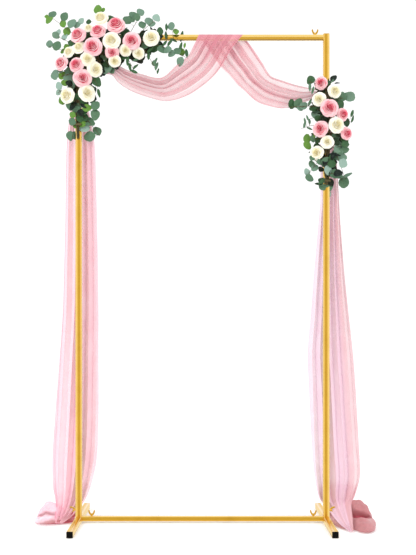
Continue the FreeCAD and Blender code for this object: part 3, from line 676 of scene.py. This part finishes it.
# Line of a petal from its foot to its rim: share of the way, distance from the axis, height
BUD_LINE = [(0, 0.45, -1.0), (0.5, 0.86, -0.50), (0.8, 0.96, -0.10), (1, 0.92, 0.0)]
CUP_LINE = [(0, 0.30, -1.0), (0.4, 0.66, -0.50), (0.7, 0.82, -0.10), (0.88, 0.91, 0.0), (1, 1.0, -0.03)]
OPEN_LINE = [(0, 0.20, -1.0), (0.4, 0.55, -0.40), (0.65, 0.76, -0.05), (0.85, 0.91, 0.0), (1, 1.0, -0.14)]


def along_line(line, share):
    """Distance and height on a petal's line."""
    for (s0, d0, h0), (s1, d1, h1) in zip(line, line[1:]):
        if share <= s1:
            part = (share - s0) / (s1 - s0)
            return d0 + (d1 - d0) * part, h0 + (h1 - h0) * part
    return line[-1][1], line[-1][2]


def petal(line, half_angle):
    """Petal of a ring of unit radius whose rim lies at height 0. One edge is tucked in under its
    neighbour. In place of tones it holds how far up each point lies."""
    add = bpy.ops.mesh.primitive_grid_add
    obj = new_model(add, x_subdivisions=PETAL_CUTS, y_subdivisions=PETAL_CUTS, size=2)
    climbs = []
    for vertex in obj.data.vertices:
        aside, climb = vertex.co.x, (vertex.co.y + 1) / 2
        climb *= 1 - 0.20 * abs(aside) ** 3 + 0.015 * math.cos(9 * aside)
        distance, height = along_line(line, climb)
        distance += 0.06 * aside * climb + 0.03 * (1 - abs(aside)) ** 2 * climb ** 4
        angle = aside * half_angle * (0.55 + 0.45 * min(1, climb * 2))
        vertex.co = (math.sin(angle) * distance, math.cos(angle) * distance, height)
        climbs.append(climb)
    return taken(obj, climbs)


def bud_core():
    """Closed middle of a bud."""
    obj = new_model(bpy.ops.mesh.primitive_uv_sphere_add, segments=12, ring_count=8, radius=1)
    obj.scale = (0.10, 0.08, (CORE_TOP - ROSE_BACK) / 2)
    obj.location = (0, 0, (CORE_TOP + ROSE_BACK) / 2)
    bpy.ops.object.transform_apply(location=True, rotation=False, scale=True)
    return taken(obj, [0.25 + 0.3 * (vertex.co.z > 0) for vertex in obj.data.vertices])


# Rings of petals from the bud outwards: petals, radius, height of the rim, kind of petal
ROSE_RINGS = [
    (2, 0.11, 0.56, 0), (3, 0.20, 0.57, 1), (3, 0.31, 0.56, 1), (4, 0.43, 0.50, 1),
    (4, 0.56, 0.41, 1), (5, 0.69, 0.29, 1), (5, 0.83, 0.14, 2), (5, 0.95, -0.04, 2), (6, 1.03, -0.20, 2),
]
ROSE_BACK = -0.62  # height where all petals meet
CORE_TOP = 0.54  # rolled petals inside the bud, as one closed body
# Tone of a petal: at the heart, gained out to the last ring, gained at its rim, lost in the crease to painted
# shade
HEART_TONE, RING_TONE, RIM_TONE, CREASE_TONE = 0.12, 0.38, 0.44, 0.25
RIM_START, RIM_RUN = 0.66, 0.18  # share of the way up a petal


def rose(models, rng):
    """One rose head of unit radius, facing +Z."""
    head = ([], [], [])
    turn = rng.uniform(0, 6)
    last = len(ROSE_RINGS) - 1
    add_copy(head, models[-1], Matrix())
    for ring, (count, radius, height, kind) in enumerate(ROSE_RINGS):
        turn += 1.1
        for k in range(count):
            angle = turn + 2 * math.pi * k / count + rng.uniform(-0.12, 0.12)
            size = radius * rng.uniform(0.96, 1.04)
            rim = height + rng.uniform(-0.025, 0.025)
            matrix = (
                Matrix.Translation((0, 0, rim))
                @ Matrix.Rotation(rng.uniform(-0.05, 0.05), 4, "X")
                @ Matrix.Rotation(angle, 4, "Z")
                @ Matrix.Diagonal((size, size, rim - ROSE_BACK, 1))
            )
            shade = rng.uniform(-0.05, 0.05)
            tones = []
            for climb in models[kind][2]:
                up = min(1.0, max(0.0, (climb - RIM_START) / RIM_RUN))
                # painted shade over the lower part of each petal, in the crease
                crease = CREASE_TONE * max(0.0, 1 - 4 * up)
                tone = HEART_TONE + RING_TONE * ring / last + RIM_TONE * up - crease + shade
                tones.append(min(1, max(0, tone)))
            add_copy(head, models[kind], matrix, tones)
    return head


def petal_material(name, heart, middle, rim):
    """Silk petal: deep at the heart, pale towards the rim, with fine veins. The heart and the creases glow
    faintly, a painted glow.
    """
    material, tree, shader = new_material(name)
    place = own_place(tree)
    patches = step_up(tree, speckle(tree, place, 26.0, 2.0), 0.3, 0.7, -0.10, 0.10)
    tone = maths(tree, "ADD", point_value(tree, "tone"), patches)
    inner = blend_colour(tree, step_up(tree, tone, 0.10, 0.50), heart, middle)
    colour = blend_colour(tree, step_up(tree, tone, 0.46, 0.86), inner, rim)
    wire(tree, shader, {
        "Base Color": colour, "Emission Color": colour,
        # painted glow, strongest where the tone is lowest: at the heart and in the creases
        "Emission Strength": step_up(tree, tone, 0.2, 0.75, 0.22, 0.0),
        "Normal": relief(tree, speckle(tree, place, 420.0, 4.0), 0.25, 0.0006),
        "Roughness": 0.62, "Specular IOR Level": 0.1, "Subsurface Weight": 0.12,
        "Subsurface Radius": (1.0, 0.85, 0.75), "Subsurface Scale": 0.004,
    })
    return material


# Heads as X, Z and radius in millimetres, read off the photograph
ROSES = {
    ("left", "pink"): metres([
        (-421, 1994, 31), (-348, 2019, 37), (-501.5, 1976.5, 33), (-284, 1951, 35), (-440, 1924, 38),
        (-363, 1904, 28), (-571, 1865, 29), (-507, 1855.5, 30), (-481, 1800, 36),
    ]),
    ("left", "cream"): metres([
        (-411, 2046, 30), (-365, 1950.5, 36), (-207, 1968, 33), (-497, 1928, 26), (-310, 1915, 25),
        (-259, 1906, 24), (-540, 1910, 24), (-460, 1876, 29), (-430, 1838, 31), (-354, 1872, 25),
        (-548, 1736, 32), (-462.5, 1745, 34), (-460, 2008, 18),
    ]),
    ("right", "pink"): metres([
        (477.5, 1789, 27), (509, 1680, 36), (567, 1658, 26), (472, 1600, 32), (583, 1583, 26),
    ]),
    ("right", "cream"): metres([
        (534, 1753, 28), (468, 1720, 28), (540, 1613, 33), (502, 1547, 27), (460, 1506, 28),
    ]),
}
# Middle line of each stem bundle: X, Z and radius in millimetres
BUNDLES = {
    "left": metres([
        (-190, 1966, 7), (-260, 1956, 14), (-350, 1944, 18), (-430, 1922, 20), (-478, 1870, 19),
        (-502, 1790, 16), (-507, 1700, 10), (-507, 1570, 6),
    ]),
    "right": metres([
        (514, 1800, 7), (510, 1740, 14), (514, 1660, 17), (514, 1580, 15), (507, 1500, 10), (507, 1380, 6),
    ]),
}
BUNDLE_BACK = -0.015
HEAD_DEPTH = 0.75  # how far a head stands off its bundle, in its own radii


def on_bundle(side, x, z):
    """Nearest place on a bundle's middle line and the radius there."""
    best = None
    line = BUNDLES[side]
    for (x0, z0, r0), (x1, z1, r1) in zip(line, line[1:]):
        run = Vector((x1 - x0, z1 - z0))
        share = min(1, max(0, Vector((x - x0, z - z0)).dot(run) / run.dot(run)))
        spot = Vector((x0, z0)) + run * share
        radius = r0 + (r1 - r0) * share
        distance = (Vector((x, z)) - spot).length
        if best is None or distance < best[0]:
            best = (distance, Vector((spot.x, BUNDLE_BACK - radius, spot.y)), radius)
    return best


def head_place(side, x, z, radius):
    """Middle of a rose head and the way it faces."""
    distance, root, bundle_radius = on_bundle(side, x, z)
    y = root.y - bundle_radius - HEAD_DEPTH * radius + min(distance, 0.06) * 0.25
    lean = Vector((x - root.x, 0, z - root.z)) * (0.45 / max(distance, 0.045))
    return Vector((x, y, z)), (FRONT + lean).normalized()


def rose_heads(side, colour, models, material, rng):
    heads = ([], [], [])
    for x, z, radius in ROSES[side, colour]:
        middle, facing = head_place(side, x, z, radius)
        turn = facing.to_track_quat("Z", "Y").to_matrix().to_4x4()
        matrix = Matrix.Translation(middle) @ turn @ Matrix.Scale(radius, 4)
        add_copy(heads, rose(models, rng), matrix)
    obj = mesh_object(f"{side}_{colour}_rose_heads", *heads[:2], tone=heads[2])
    finished(obj, material, [f"{side}_{colour}_roses"])


# Leaves

LEAF_ROWS = 5


def leaf_blade(slim):
    """Leaf of unit length along +Y, facing +Z, folded along its midrib and curled."""
    add = bpy.ops.mesh.primitive_grid_add
    obj = new_model(add, x_subdivisions=4, y_subdivisions=LEAF_ROWS, size=1, location=(0, 0.5, 0))
    bpy.ops.object.transform_apply(location=True)
    for vertex in obj.data.vertices:
        run = vertex.co.y
        half = math.sin(math.pi * min(0.97, max(0.03, run ** 0.85))) ** 0.55 * 0.5 * slim
        aside = vertex.co.x * 2
        x = aside * half
        vertex.co = (x, run, 0.16 * abs(x) - 0.10 * run * run + 0.05 * math.sin(run * 5))
    return taken(obj, [])


# Leaf colours by tone: near-black painted shade, dark, grey-green, soft, pale, fresh and bright green
LEAF_COLOURS = [
    (0.0, (0.002, 0.006, 0.002, 1)), (0.2, (0.03, 0.085, 0.03, 1)), (0.45, (0.075, 0.150, 0.085, 1)),
    (0.62, (0.13, 0.22, 0.155, 1)), (0.75, (0.24, 0.35, 0.29, 1)), (0.85, (0.09, 0.19, 0.06, 1)),
    (1.0, (0.10, 0.22, 0.03, 1)),
]
LEAF_SPECKLE = (0.30, 0.42, 0.28, 1)
BARK_GREEN, BARK_BROWN = (0.03, 0.04, 0.012, 1), (0.14, 0.09, 0.035, 1)


def leaf_material():
    """Eucalyptus leaf with faint pale speckles. Its tone picks the colour."""
    material, tree, shader = new_material("leaves")
    speckles = speckle(tree, own_place(tree), 150.0, 4.0)
    ramp = node(tree, "ValToRGB", {"Fac": point_value(tree, "tone")})
    stops = ramp.color_ramp.elements
    stops[0].color, stops[1].color = LEAF_COLOURS[0][1], LEAF_COLOURS[-1][1]
    for position, colour in LEAF_COLOURS[1:-1]:
        stops.new(position).color = colour
    share = step_up(tree, speckles, 0.35, 0.75, 0.0, 0.07)
    wire(tree, shader, {
        "Base Color": blend_colour(tree, share, ramp.outputs["Color"], LEAF_SPECKLE),
        "Normal": relief(tree, speckles, 0.3, 0.001), "Roughness": 0.5, "Specular IOR Level": 0.2,
    })
    return material


def bark_material():
    material, tree, shader = new_material("bark")
    grain = speckle(tree, own_place(tree), 300.0, 5.0)
    wire(tree, shader, {
        "Base Color": blend_colour(tree, grain, BARK_GREEN, BARK_BROWN),
        "Normal": relief(tree, grain, 0.5, 0.001), "Roughness": 0.8,
    })
    return material


PIXEL = 0.00402  # metres at the arrangement's depth for one pixel of the photograph
PIXEL_X0, PIXEL_Y0 = 202.5, 312.0
PIXELS_AT_ONE_METRE = 774.8
# Tones of leaves
DARK, GREY, SOFT, PALE, BRIGHT = 0.2, 0.45, 0.6, 0.75, 1.0


def at_pixel(px, py, y=-0.06):
    """X and Z of a place in the photograph at a depth."""
    pixel = (CAMERA_DISTANCE + y) / PIXELS_AT_ONE_METRE
    return (px - PIXEL_X0) * pixel, CAMERA_HEIGHT + (PIXEL_Y0 - py) * pixel


# Sprays read off the photograph in its own pixels: root and tip of the twig, then each leaf's middle, its
# half length and its tone. A negative half length marks a thin pointed leaf.
LEFT_SPRAYS = [
    ((82, 92), (80, 122), [(84, 101, 4.6, DARK), (78.5, 106, 4, GREY), (83.5, 112, 4.6, DARK),
     (79.5, 118, 4.2, DARK), (77.5, 97, 4, DARK)]),
    ((92, 44), (86, 34), [(86.3, 36.6, 4.6, DARK), (83, 41, 4, DARK), (88.5, 33, 3.4, DARK)]),
    ((80, 38), (50, 15), [(52.8, 14.3, 4.8, GREY), (49.2, 19.6, 4.6, BRIGHT), (46.5, 16.5, 2.4, BRIGHT),
     (64.4, 16.5, 4.6, GREY), (63, 23.4, 4.2, BRIGHT), (72, 23.4, 5.2, SOFT), (77.3, 24.6, 4.2, SOFT),
     (81.3, 21, 3.4, PALE)]),
    ((78, 42), (52, 33), [(67, 31.3, 4.6, BRIGHT), (58.6, 32.1, 3, PALE), (55.9, 35.3, 4, SOFT),
     (64.8, 36.6, 4, PALE), (71, 42.9, 3.8, DARK)]),
    ((72, 46), (48, 44), [(49.6, 43.8, 4.2, SOFT), (57, 45.7, 5.2, GREY), (66.6, 46.9, 3.6, BRIGHT),
     (63, 51.3, 3.2, BRIGHT)]),
    ((96, 24), (97, 9), [(97.9, 9.4, 5.2, BRIGHT), (103.2, 9.8, 2.4, BRIGHT), (110.4, 19.2, 4.6, DARK),
     (88.5, 21.9, 3, DARK)]),
    ((122, 30), (143, 9), [(140.3, 12, 4.6, SOFT), (132.7, 14.7, 4.6, GREY), (130.9, 18.8, 4.6, GREY),
     (126.9, 20.1, 5, GREY), (137, 17, 4, GREY)]),
    ((128, 34), (158, 17), [(148.8, 21, 5.4, SOFT), (156.3, 17.9, 4.4, PALE), (142, 24.6, 4.6, GREY),
     (152, 24, 3.6, SOFT)]),
    ((148, 34), (184, 36), [(171.3, 25.9, 4.6, SOFT), (166.4, 26.8, -4, DARK), (175.8, 31.3, 3.8, BRIGHT),
     (181.6, 36.2, -5.4, DARK), (173.6, 40.2, -4, DARK), (160, 31, 4, DARK), (166, 35, -4.2, DARK)]),
    ((146, 40), (187, 55), [(170, 42.4, -4.6, DARK), (180.7, 46.4, -4.4, DARK), (184.7, 45.1, -3.6, BRIGHT),
     (186.5, 52.7, -5, DARK), (177.1, 50.9, 4.6, GREY), (181.6, 51.8, 4, BRIGHT), (171.8, 53.6, 4.2, SOFT),
     (167.3, 50, 4.6, SOFT), (162, 49.6, 5.2, GREY), (154.8, 48.2, 5.2, DARK), (145, 45.5, 4.6, GREY),
     (180.3, 61.6, 4.8, SOFT), (165, 43, -4, DARK)]),
    ((140, 46), (157, 70), [(156.6, 66, -4.6, GREY), (154, 63, 3, GREY), (148.6, 55.4, -4.6, DARK),
     (135.6, 59.8, -3.6, GREY), (155.7, 60.7, -4, GREY), (158, 71, -3, DARK), (150, 50, -4, DARK)]),
    ((120, 52), (135, 72), [(127.6, 60.7, -4.8, DARK), (129.8, 67, -4.2, DARK), (135.6, 66.5, -4.2, DARK),
     (133.8, 71.4, -4.2, DARK), (124, 57, 4.2, DARK)]),
    ((100, 52), (110, 68), [(104.1, 55.8, 4.8, GREY), (106.8, 67.9, 6.4, SOFT), (108, 62, 4.4, GREY),
     (112, 70, 4, GREY)]),
    ((84, 66), (96, 82), [(96.1, 81.3, 6, DARK), (98.8, 92.9, -4.6, DARK), (92, 76, 4.6, DARK)]),
    ((76, 70), (54, 76), [(55, 74.6, 5.4, SOFT), (62.1, 75.4, 4.4, BRIGHT), (69.3, 72.3, 5, GREY),
     (68.4, 77.7, 5.2, SOFT), (60, 70, 3.6, SOFT)]),
    ((78, 84), (57, 92), [(64.4, 82.6, 4.4, BRIGHT), (59, 85.7, 4.2, PALE), (71.5, 84.4, 5, SOFT),
     (58.6, 92.4, 3.2, PALE)]),
    ((80, 98), (60, 102), [(62.1, 100.4, 4.4, BRIGHT), (70.2, 105.4, 5.2, GREY), (76.4, 110.7, 5, GREY),
     (72, 99, 4, BRIGHT)]),
    ((80, 100), (97, 116), [(95.6, 105.4, 5.2, GREY), (95.2, 114.7, 5.6, GREY), (83.6, 102.7, 5, DARK),
     (87.1, 108, 4.8, BRIGHT), (89, 98, 3.6, GREY)]),
    ((80, 106), (70, 138), [(72.4, 114.7, 3.8, BRIGHT), (72, 121.4, 4.8, GREY), (70.2, 135.7, 5, GREY),
     (75.1, 135.7, 4.8, GREY), (76, 126, 3.2, BRIGHT)]),
    ((81, 108), (98, 132), [(83.6, 117, 5.2, DARK), (89.4, 121.9, 5.8, GREY), (84.5, 128.1, 5.4, PALE),
     (97, 130.8, 5.2, GREY), (89.4, 136.6, 6.2, GREY), (82, 124, 4.2, BRIGHT)]),
]
RIGHT_SPRAYS = [
    ((330, 88), (309, 80), [(310.7, 80, 4.8, DARK), (309.9, 87, -4.2, GREY), (312.8, 90.3, -3.8, GREY),
     (328.6, 82.9, 3, DARK), (333.1, 80.4, -3, GREY)]),
    ((334, 100), (353, 94), [(341.8, 96.9, 5.8, GREY), (349.3, 96.5, 6.2, SOFT),
     (340.6, 104.8, 4.6, DARK)]),
    ((324, 106), (289, 104), [(291.7, 104, 5, DARK), (298.3, 103.2, 5.2, GREY), (303.7, 105.7, 4.6, SOFT),
     (309.9, 102.3, -4, GREY), (313.6, 108.6, 4.8, DARK), (300, 108, 3.6, SOFT)]),
    ((328, 116), (311, 116), [(315.7, 113.9, 5.6, SOFT), (320.7, 115.2, 4.6, GREY),
     (324.8, 118.9, 4.6, DARK), (318, 119, 4, DARK)]),
    ((334, 112), (353, 120), [(352.2, 113.1, -4.4, DARK), (352.6, 118.9, -3.8, DARK),
     (346.8, 123.1, 3.6, DARK)]),
    ((322, 122), (302, 127), [(307.4, 117.7, -3, GREY), (304.9, 120.6, -3.2, GREY),
     (309.5, 121.4, -3.6, GREY), (304.5, 124.7, -3.6, GREY), (309.5, 128.5, -3, GREY)]),
    ((326, 136), (305, 141), [(307, 138.4, 4.8, BRIGHT), (312.8, 138.8, 3.8, GREY),
     (314, 134.3, -3.6, BRIGHT), (307.4, 145.5, 4.8, BRIGHT), (318, 140, 3.8, DARK)]),
    ((332, 136), (346, 178), [(335.6, 136.3, 4.8, GREY), (339.8, 142.1, 6, SOFT), (345.6, 144.2, 4.4, DARK),
     (338.9, 148.8, 6.6, SOFT), (341, 157, 6.2, SOFT), (343.1, 162.9, 5.6, PALE), (337, 152, 5, GREY),
     (345, 150, 4.2, GREY)]),
    ((328, 150), (326, 178), [(333.1, 157.9, 4.8, DARK), (326.5, 162, 6, GREY), (327.7, 170.3, 4.8, PALE),
     (335.2, 174.1, 6, GREY), (332, 164, 4.6, DARK)]),
    ((326, 148), (307, 176), [(317.4, 160.4, -5.2, GREY), (312, 157.9, 3.2, GREY), (311.6, 164.1, 4, GREY),
     (314.9, 167.8, 4.4, SOFT), (307, 172, 3.8, PALE), (309.5, 178.2, 4.6, GREY), (320, 162, 3.8, GREY)]),
    ((330, 160), (347, 182), [(343.9, 181.9, 6.4, GREY), (347.2, 175.3, -5.4, SOFT), (339, 176, 4, GREY)]),
    ((328, 160), (326, 196), [(322.3, 186.5, 4.4, GREY), (329, 187.3, 4.6, GREY), (327.3, 194.8, 4.4, PALE),
     (325, 180, 3.4, SOFT)]),
]
TWIG_TIP, TWIG_ROOT = 0.0007, 0.0016
TWIG_STEPS = 10
TWIG_SAG = Vector((0, -0.014, 0.008))  # how far the middle of a twig bows out
STALK_RISE = Vector((0, 0, 0.001))
BEHIND_HEADS = -0.042  # depth of leaves that pass behind a rose
GREEN_FILL = {"left": 560, "right": 330}
STEMS = 7


def bend_point(root, middle, tip, share):
    return root * (1 - share) ** 2 + middle * (2 * share * (1 - share)) + tip * share ** 2


def tube_along(store, route, radii, sides=5):
    """Adds a thin tube that follows a route, closed at both ends."""
    points, faces = store[:2]
    start = len(points)
    for k, spot in enumerate(route):
        heading = (route[min(k + 1, len(route) - 1)] - route[max(k - 1, 0)]).normalized()
        turn = heading.to_track_quat("Z", "Y")
        for side in range(sides):
            angle = 2 * math.pi * side / sides
            points.append(spot + turn @ Vector((math.cos(angle), math.sin(angle), 0)) * radii[k])
    for k in range(len(route) - 1):
        for side in range(sides):
            a = start + k * sides + side
            b = start + k * sides + (side + 1) % sides
            faces.append((a, b, b + sides, a + sides))
    faces.append(tuple(start + side for side in reversed(range(sides))))
    faces.append(tuple(start + (len(route) - 1) * sides + side for side in range(sides)))


def add_leaf(store, blade, base, direction, facing, length, tone):
    """Adds a leaf that grows from its base in a direction and turns its upper face towards facing."""
    along = direction.normalized()
    across = along.cross(facing).normalized()
    turn = Matrix((across, along, across.cross(along))).transposed().to_4x4()
    matrix = Matrix.Translation(base) @ turn @ Matrix.Scale(length, 4)
    add_copy(store, blade, matrix, [tone] * len(blade[0]))


def grow_spray(side, spray, heads, blades, leaves, twigs, rng):
    """Twig from the stem bundle with its leaves, each on a short stalk."""
    root_spot, tip_spot, places = spray
    root = on_bundle(side, *at_pixel(*root_spot))[1]
    x, z = at_pixel(*tip_spot)
    tip = Vector((x, root.y - 0.004 + rng.uniform(-0.014, 0.03), z))
    middle = (root + tip) / 2 + TWIG_SAG
    route = [bend_point(root, middle, tip, k / TWIG_STEPS) for k in range(TWIG_STEPS + 1)]
    radii = [TWIG_ROOT + (TWIG_TIP - TWIG_ROOT) * k / TWIG_STEPS for k in range(TWIG_STEPS + 1)]
    tube_along(twigs, route, radii)
    for leaf_x, leaf_y, half, tone in places:
        slim = half < 0
        length = abs(half) * 2 * PIXEL
        x, z = at_pixel(leaf_x, leaf_y)
        fork = min(route[1:], key=lambda spot: (spot.x - x) ** 2 + (spot.z - z) ** 2)
        y = fork.y + rng.uniform(-0.008, 0.008)
        if any(math.hypot(x - head[0], z - head[1]) < head[2] + length * 0.3 for head in heads):
            y = max(y, BEHIND_HEADS)
        x, z = at_pixel(leaf_x, leaf_y, y)
        centre = Vector((x, y, z))
        away = centre - fork
        if math.hypot(away.x, away.z) < length * 0.3:
            angle = rng.uniform(0, 2 * math.pi)
            away = Vector((math.cos(angle), 0, math.sin(angle)))
        away.y = rng.uniform(-0.3, 0.3) * away.length
        away.normalize()
        base = centre - away * (length / 2)
        facing = Vector((rng.uniform(-0.35, 0.35), -1, rng.uniform(-0.2, 0.4)))
        add_leaf(leaves, blades[1 if slim else 0], base, away, facing, length, tone)
        stalk = [fork, (fork + base) / 2 + STALK_RISE, base + away * (length * 0.12)]
        tube_along(twigs, stalk, [TWIG_TIP * 1.2, TWIG_TIP, TWIG_TIP * 0.8], 4)


def fill_greens(side, heads, blades, leaves, twigs, rng):
    """Dark leaves between and behind the roses, each on a stalk from the stem bundle. Most are near black:
    painted shade in the gaps between the heads.
    """
    line = BUNDLES[side]
    for k in range(GREEN_FILL[side]):
        part = rng.randrange(len(line) - (2 if side == "left" else 1))
        (x0, z0, r0), (x1, z1, r1) = line[part], line[part + 1]
        share = rng.random()
        angle = rng.uniform(0, 2 * math.pi)
        spread_out = rng.uniform(0.012, 0.085)
        root = Vector((x0 + (x1 - x0) * share, BUNDLE_BACK - r0, z0 + (z1 - z0) * share))
        away = Vector((math.cos(angle), rng.uniform(-0.9, 0.25), math.sin(angle))).normalized()
        base = root + away * spread_out
        tip = base + away * 0.03
        gap = min(math.hypot(tip.x - x, tip.z - z) - radius for x, z, radius in heads)
        if gap > 0.004 and spread_out > 0.03:
            continue
        if gap < 0.006 or any(math.hypot(base.x - x, base.z - z) < radius * 1.1 for x, z, radius in heads):
            away.y = abs(away.y) * 0.3
            base.y = root.y + 0.004
        facing = Vector((rng.uniform(-0.6, 0.6), -1, rng.uniform(-0.6, 0.6)))
        blade = blades[1] if rng.random() < 0.35 else blades[0]
        # tones under DARK are painted shade
        tone = rng.choice((0.0, 0.0, 0.0, 0.05, 0.12, DARK))
        add_leaf(leaves, blade, base, away, facing, rng.uniform(0.024, 0.040), tone)
        tube_along(twigs, [root, base + away * 0.003], [0.0012, 0.0008], 4)


def bundle_of_stems(side, twigs, rng):
    """Stems that lie side by side along the arrangement and wander over each other."""
    line = BUNDLES[side]
    for stem in range(STEMS):
        first = rng.randrange(0, 3)
        angle = 2 * math.pi * stem / STEMS
        route, radii = [], []
        for k, (x, z, radius) in enumerate(line[first:]):
            turn = angle + 0.7 * k
            reach = radius * rng.uniform(0.45, 0.9)
            route.append(Vector((
                x + reach * math.cos(turn), BUNDLE_BACK - radius + reach * math.sin(turn),
                z + reach * 0.4 * math.sin(turn * 1.3),
            )))
            radii.append(rng.uniform(0.0012, 0.0022))
        tube_along(twigs, route, radii, 6)


FLOWER_SEED = 11
PETAL_COLOURS = {
    "pink": ((0.56, 0.01, 0.05, 1), (0.78, 0.16, 0.23, 1), (0.90, 0.60, 0.62, 1)),
    "cream": ((0.66, 0.59, 0.33, 1), (0.84, 0.78, 0.54, 1), (0.93, 0.91, 0.80, 1)),
}


def grow_flowers():
    rng = random.Random(FLOWER_SEED)
    petals = [petal(BUD_LINE, 1.55), petal(CUP_LINE, 1.05), petal(OPEN_LINE, 0.86), bud_core()]
    blades = [leaf_blade(0.86), leaf_blade(0.36)]
    coats = {
        colour: petal_material(f"{colour}_petals", *colours) for colour, colours in PETAL_COLOURS.items()
    }
    green, bark = leaf_material(), bark_material()
    for side, sprays in (("left", LEFT_SPRAYS), ("right", RIGHT_SPRAYS)):
        for colour, coat in coats.items():
            rose_heads(side, colour, petals, coat, rng)
        heads = ROSES[side, "pink"] + ROSES[side, "cream"]
        leaves, twigs = ([], [], []), ([], [], [])
        for spray in sprays:
            grow_spray(side, spray, heads, blades, leaves, twigs, rng)
        fill_greens(side, heads, blades, leaves, twigs, rng)
        bundle_of_stems(side, twigs, rng)
        foliage = mesh_object(f"{side}_leaves", *leaves[:2], tone=leaves[2])
        finished(foliage, green, [f"{side}_eucalyptus"])
        wood = mesh_object(f"{side}_twigs", *twigs[:2])
        finished(wood, bark, [f"{side}_stem_bundle"])
        for tie in ("drape_tie", "flower_tie"):
            coat_node(f"{side}_{tie}", bark)


set_camera()
light_studio()
lay_floor()
soft_light("key", place=(-2.2, -3.2, 3.4), aim=(0, 0, 1.2), size=1.6, power=60.0)
soft_light("fill", place=(2.6, -2.6, 2.2), aim=(0, 0, 1.0), size=2.0, power=25.0)
finish_stand()
drape_scarf()
grow_flowers()
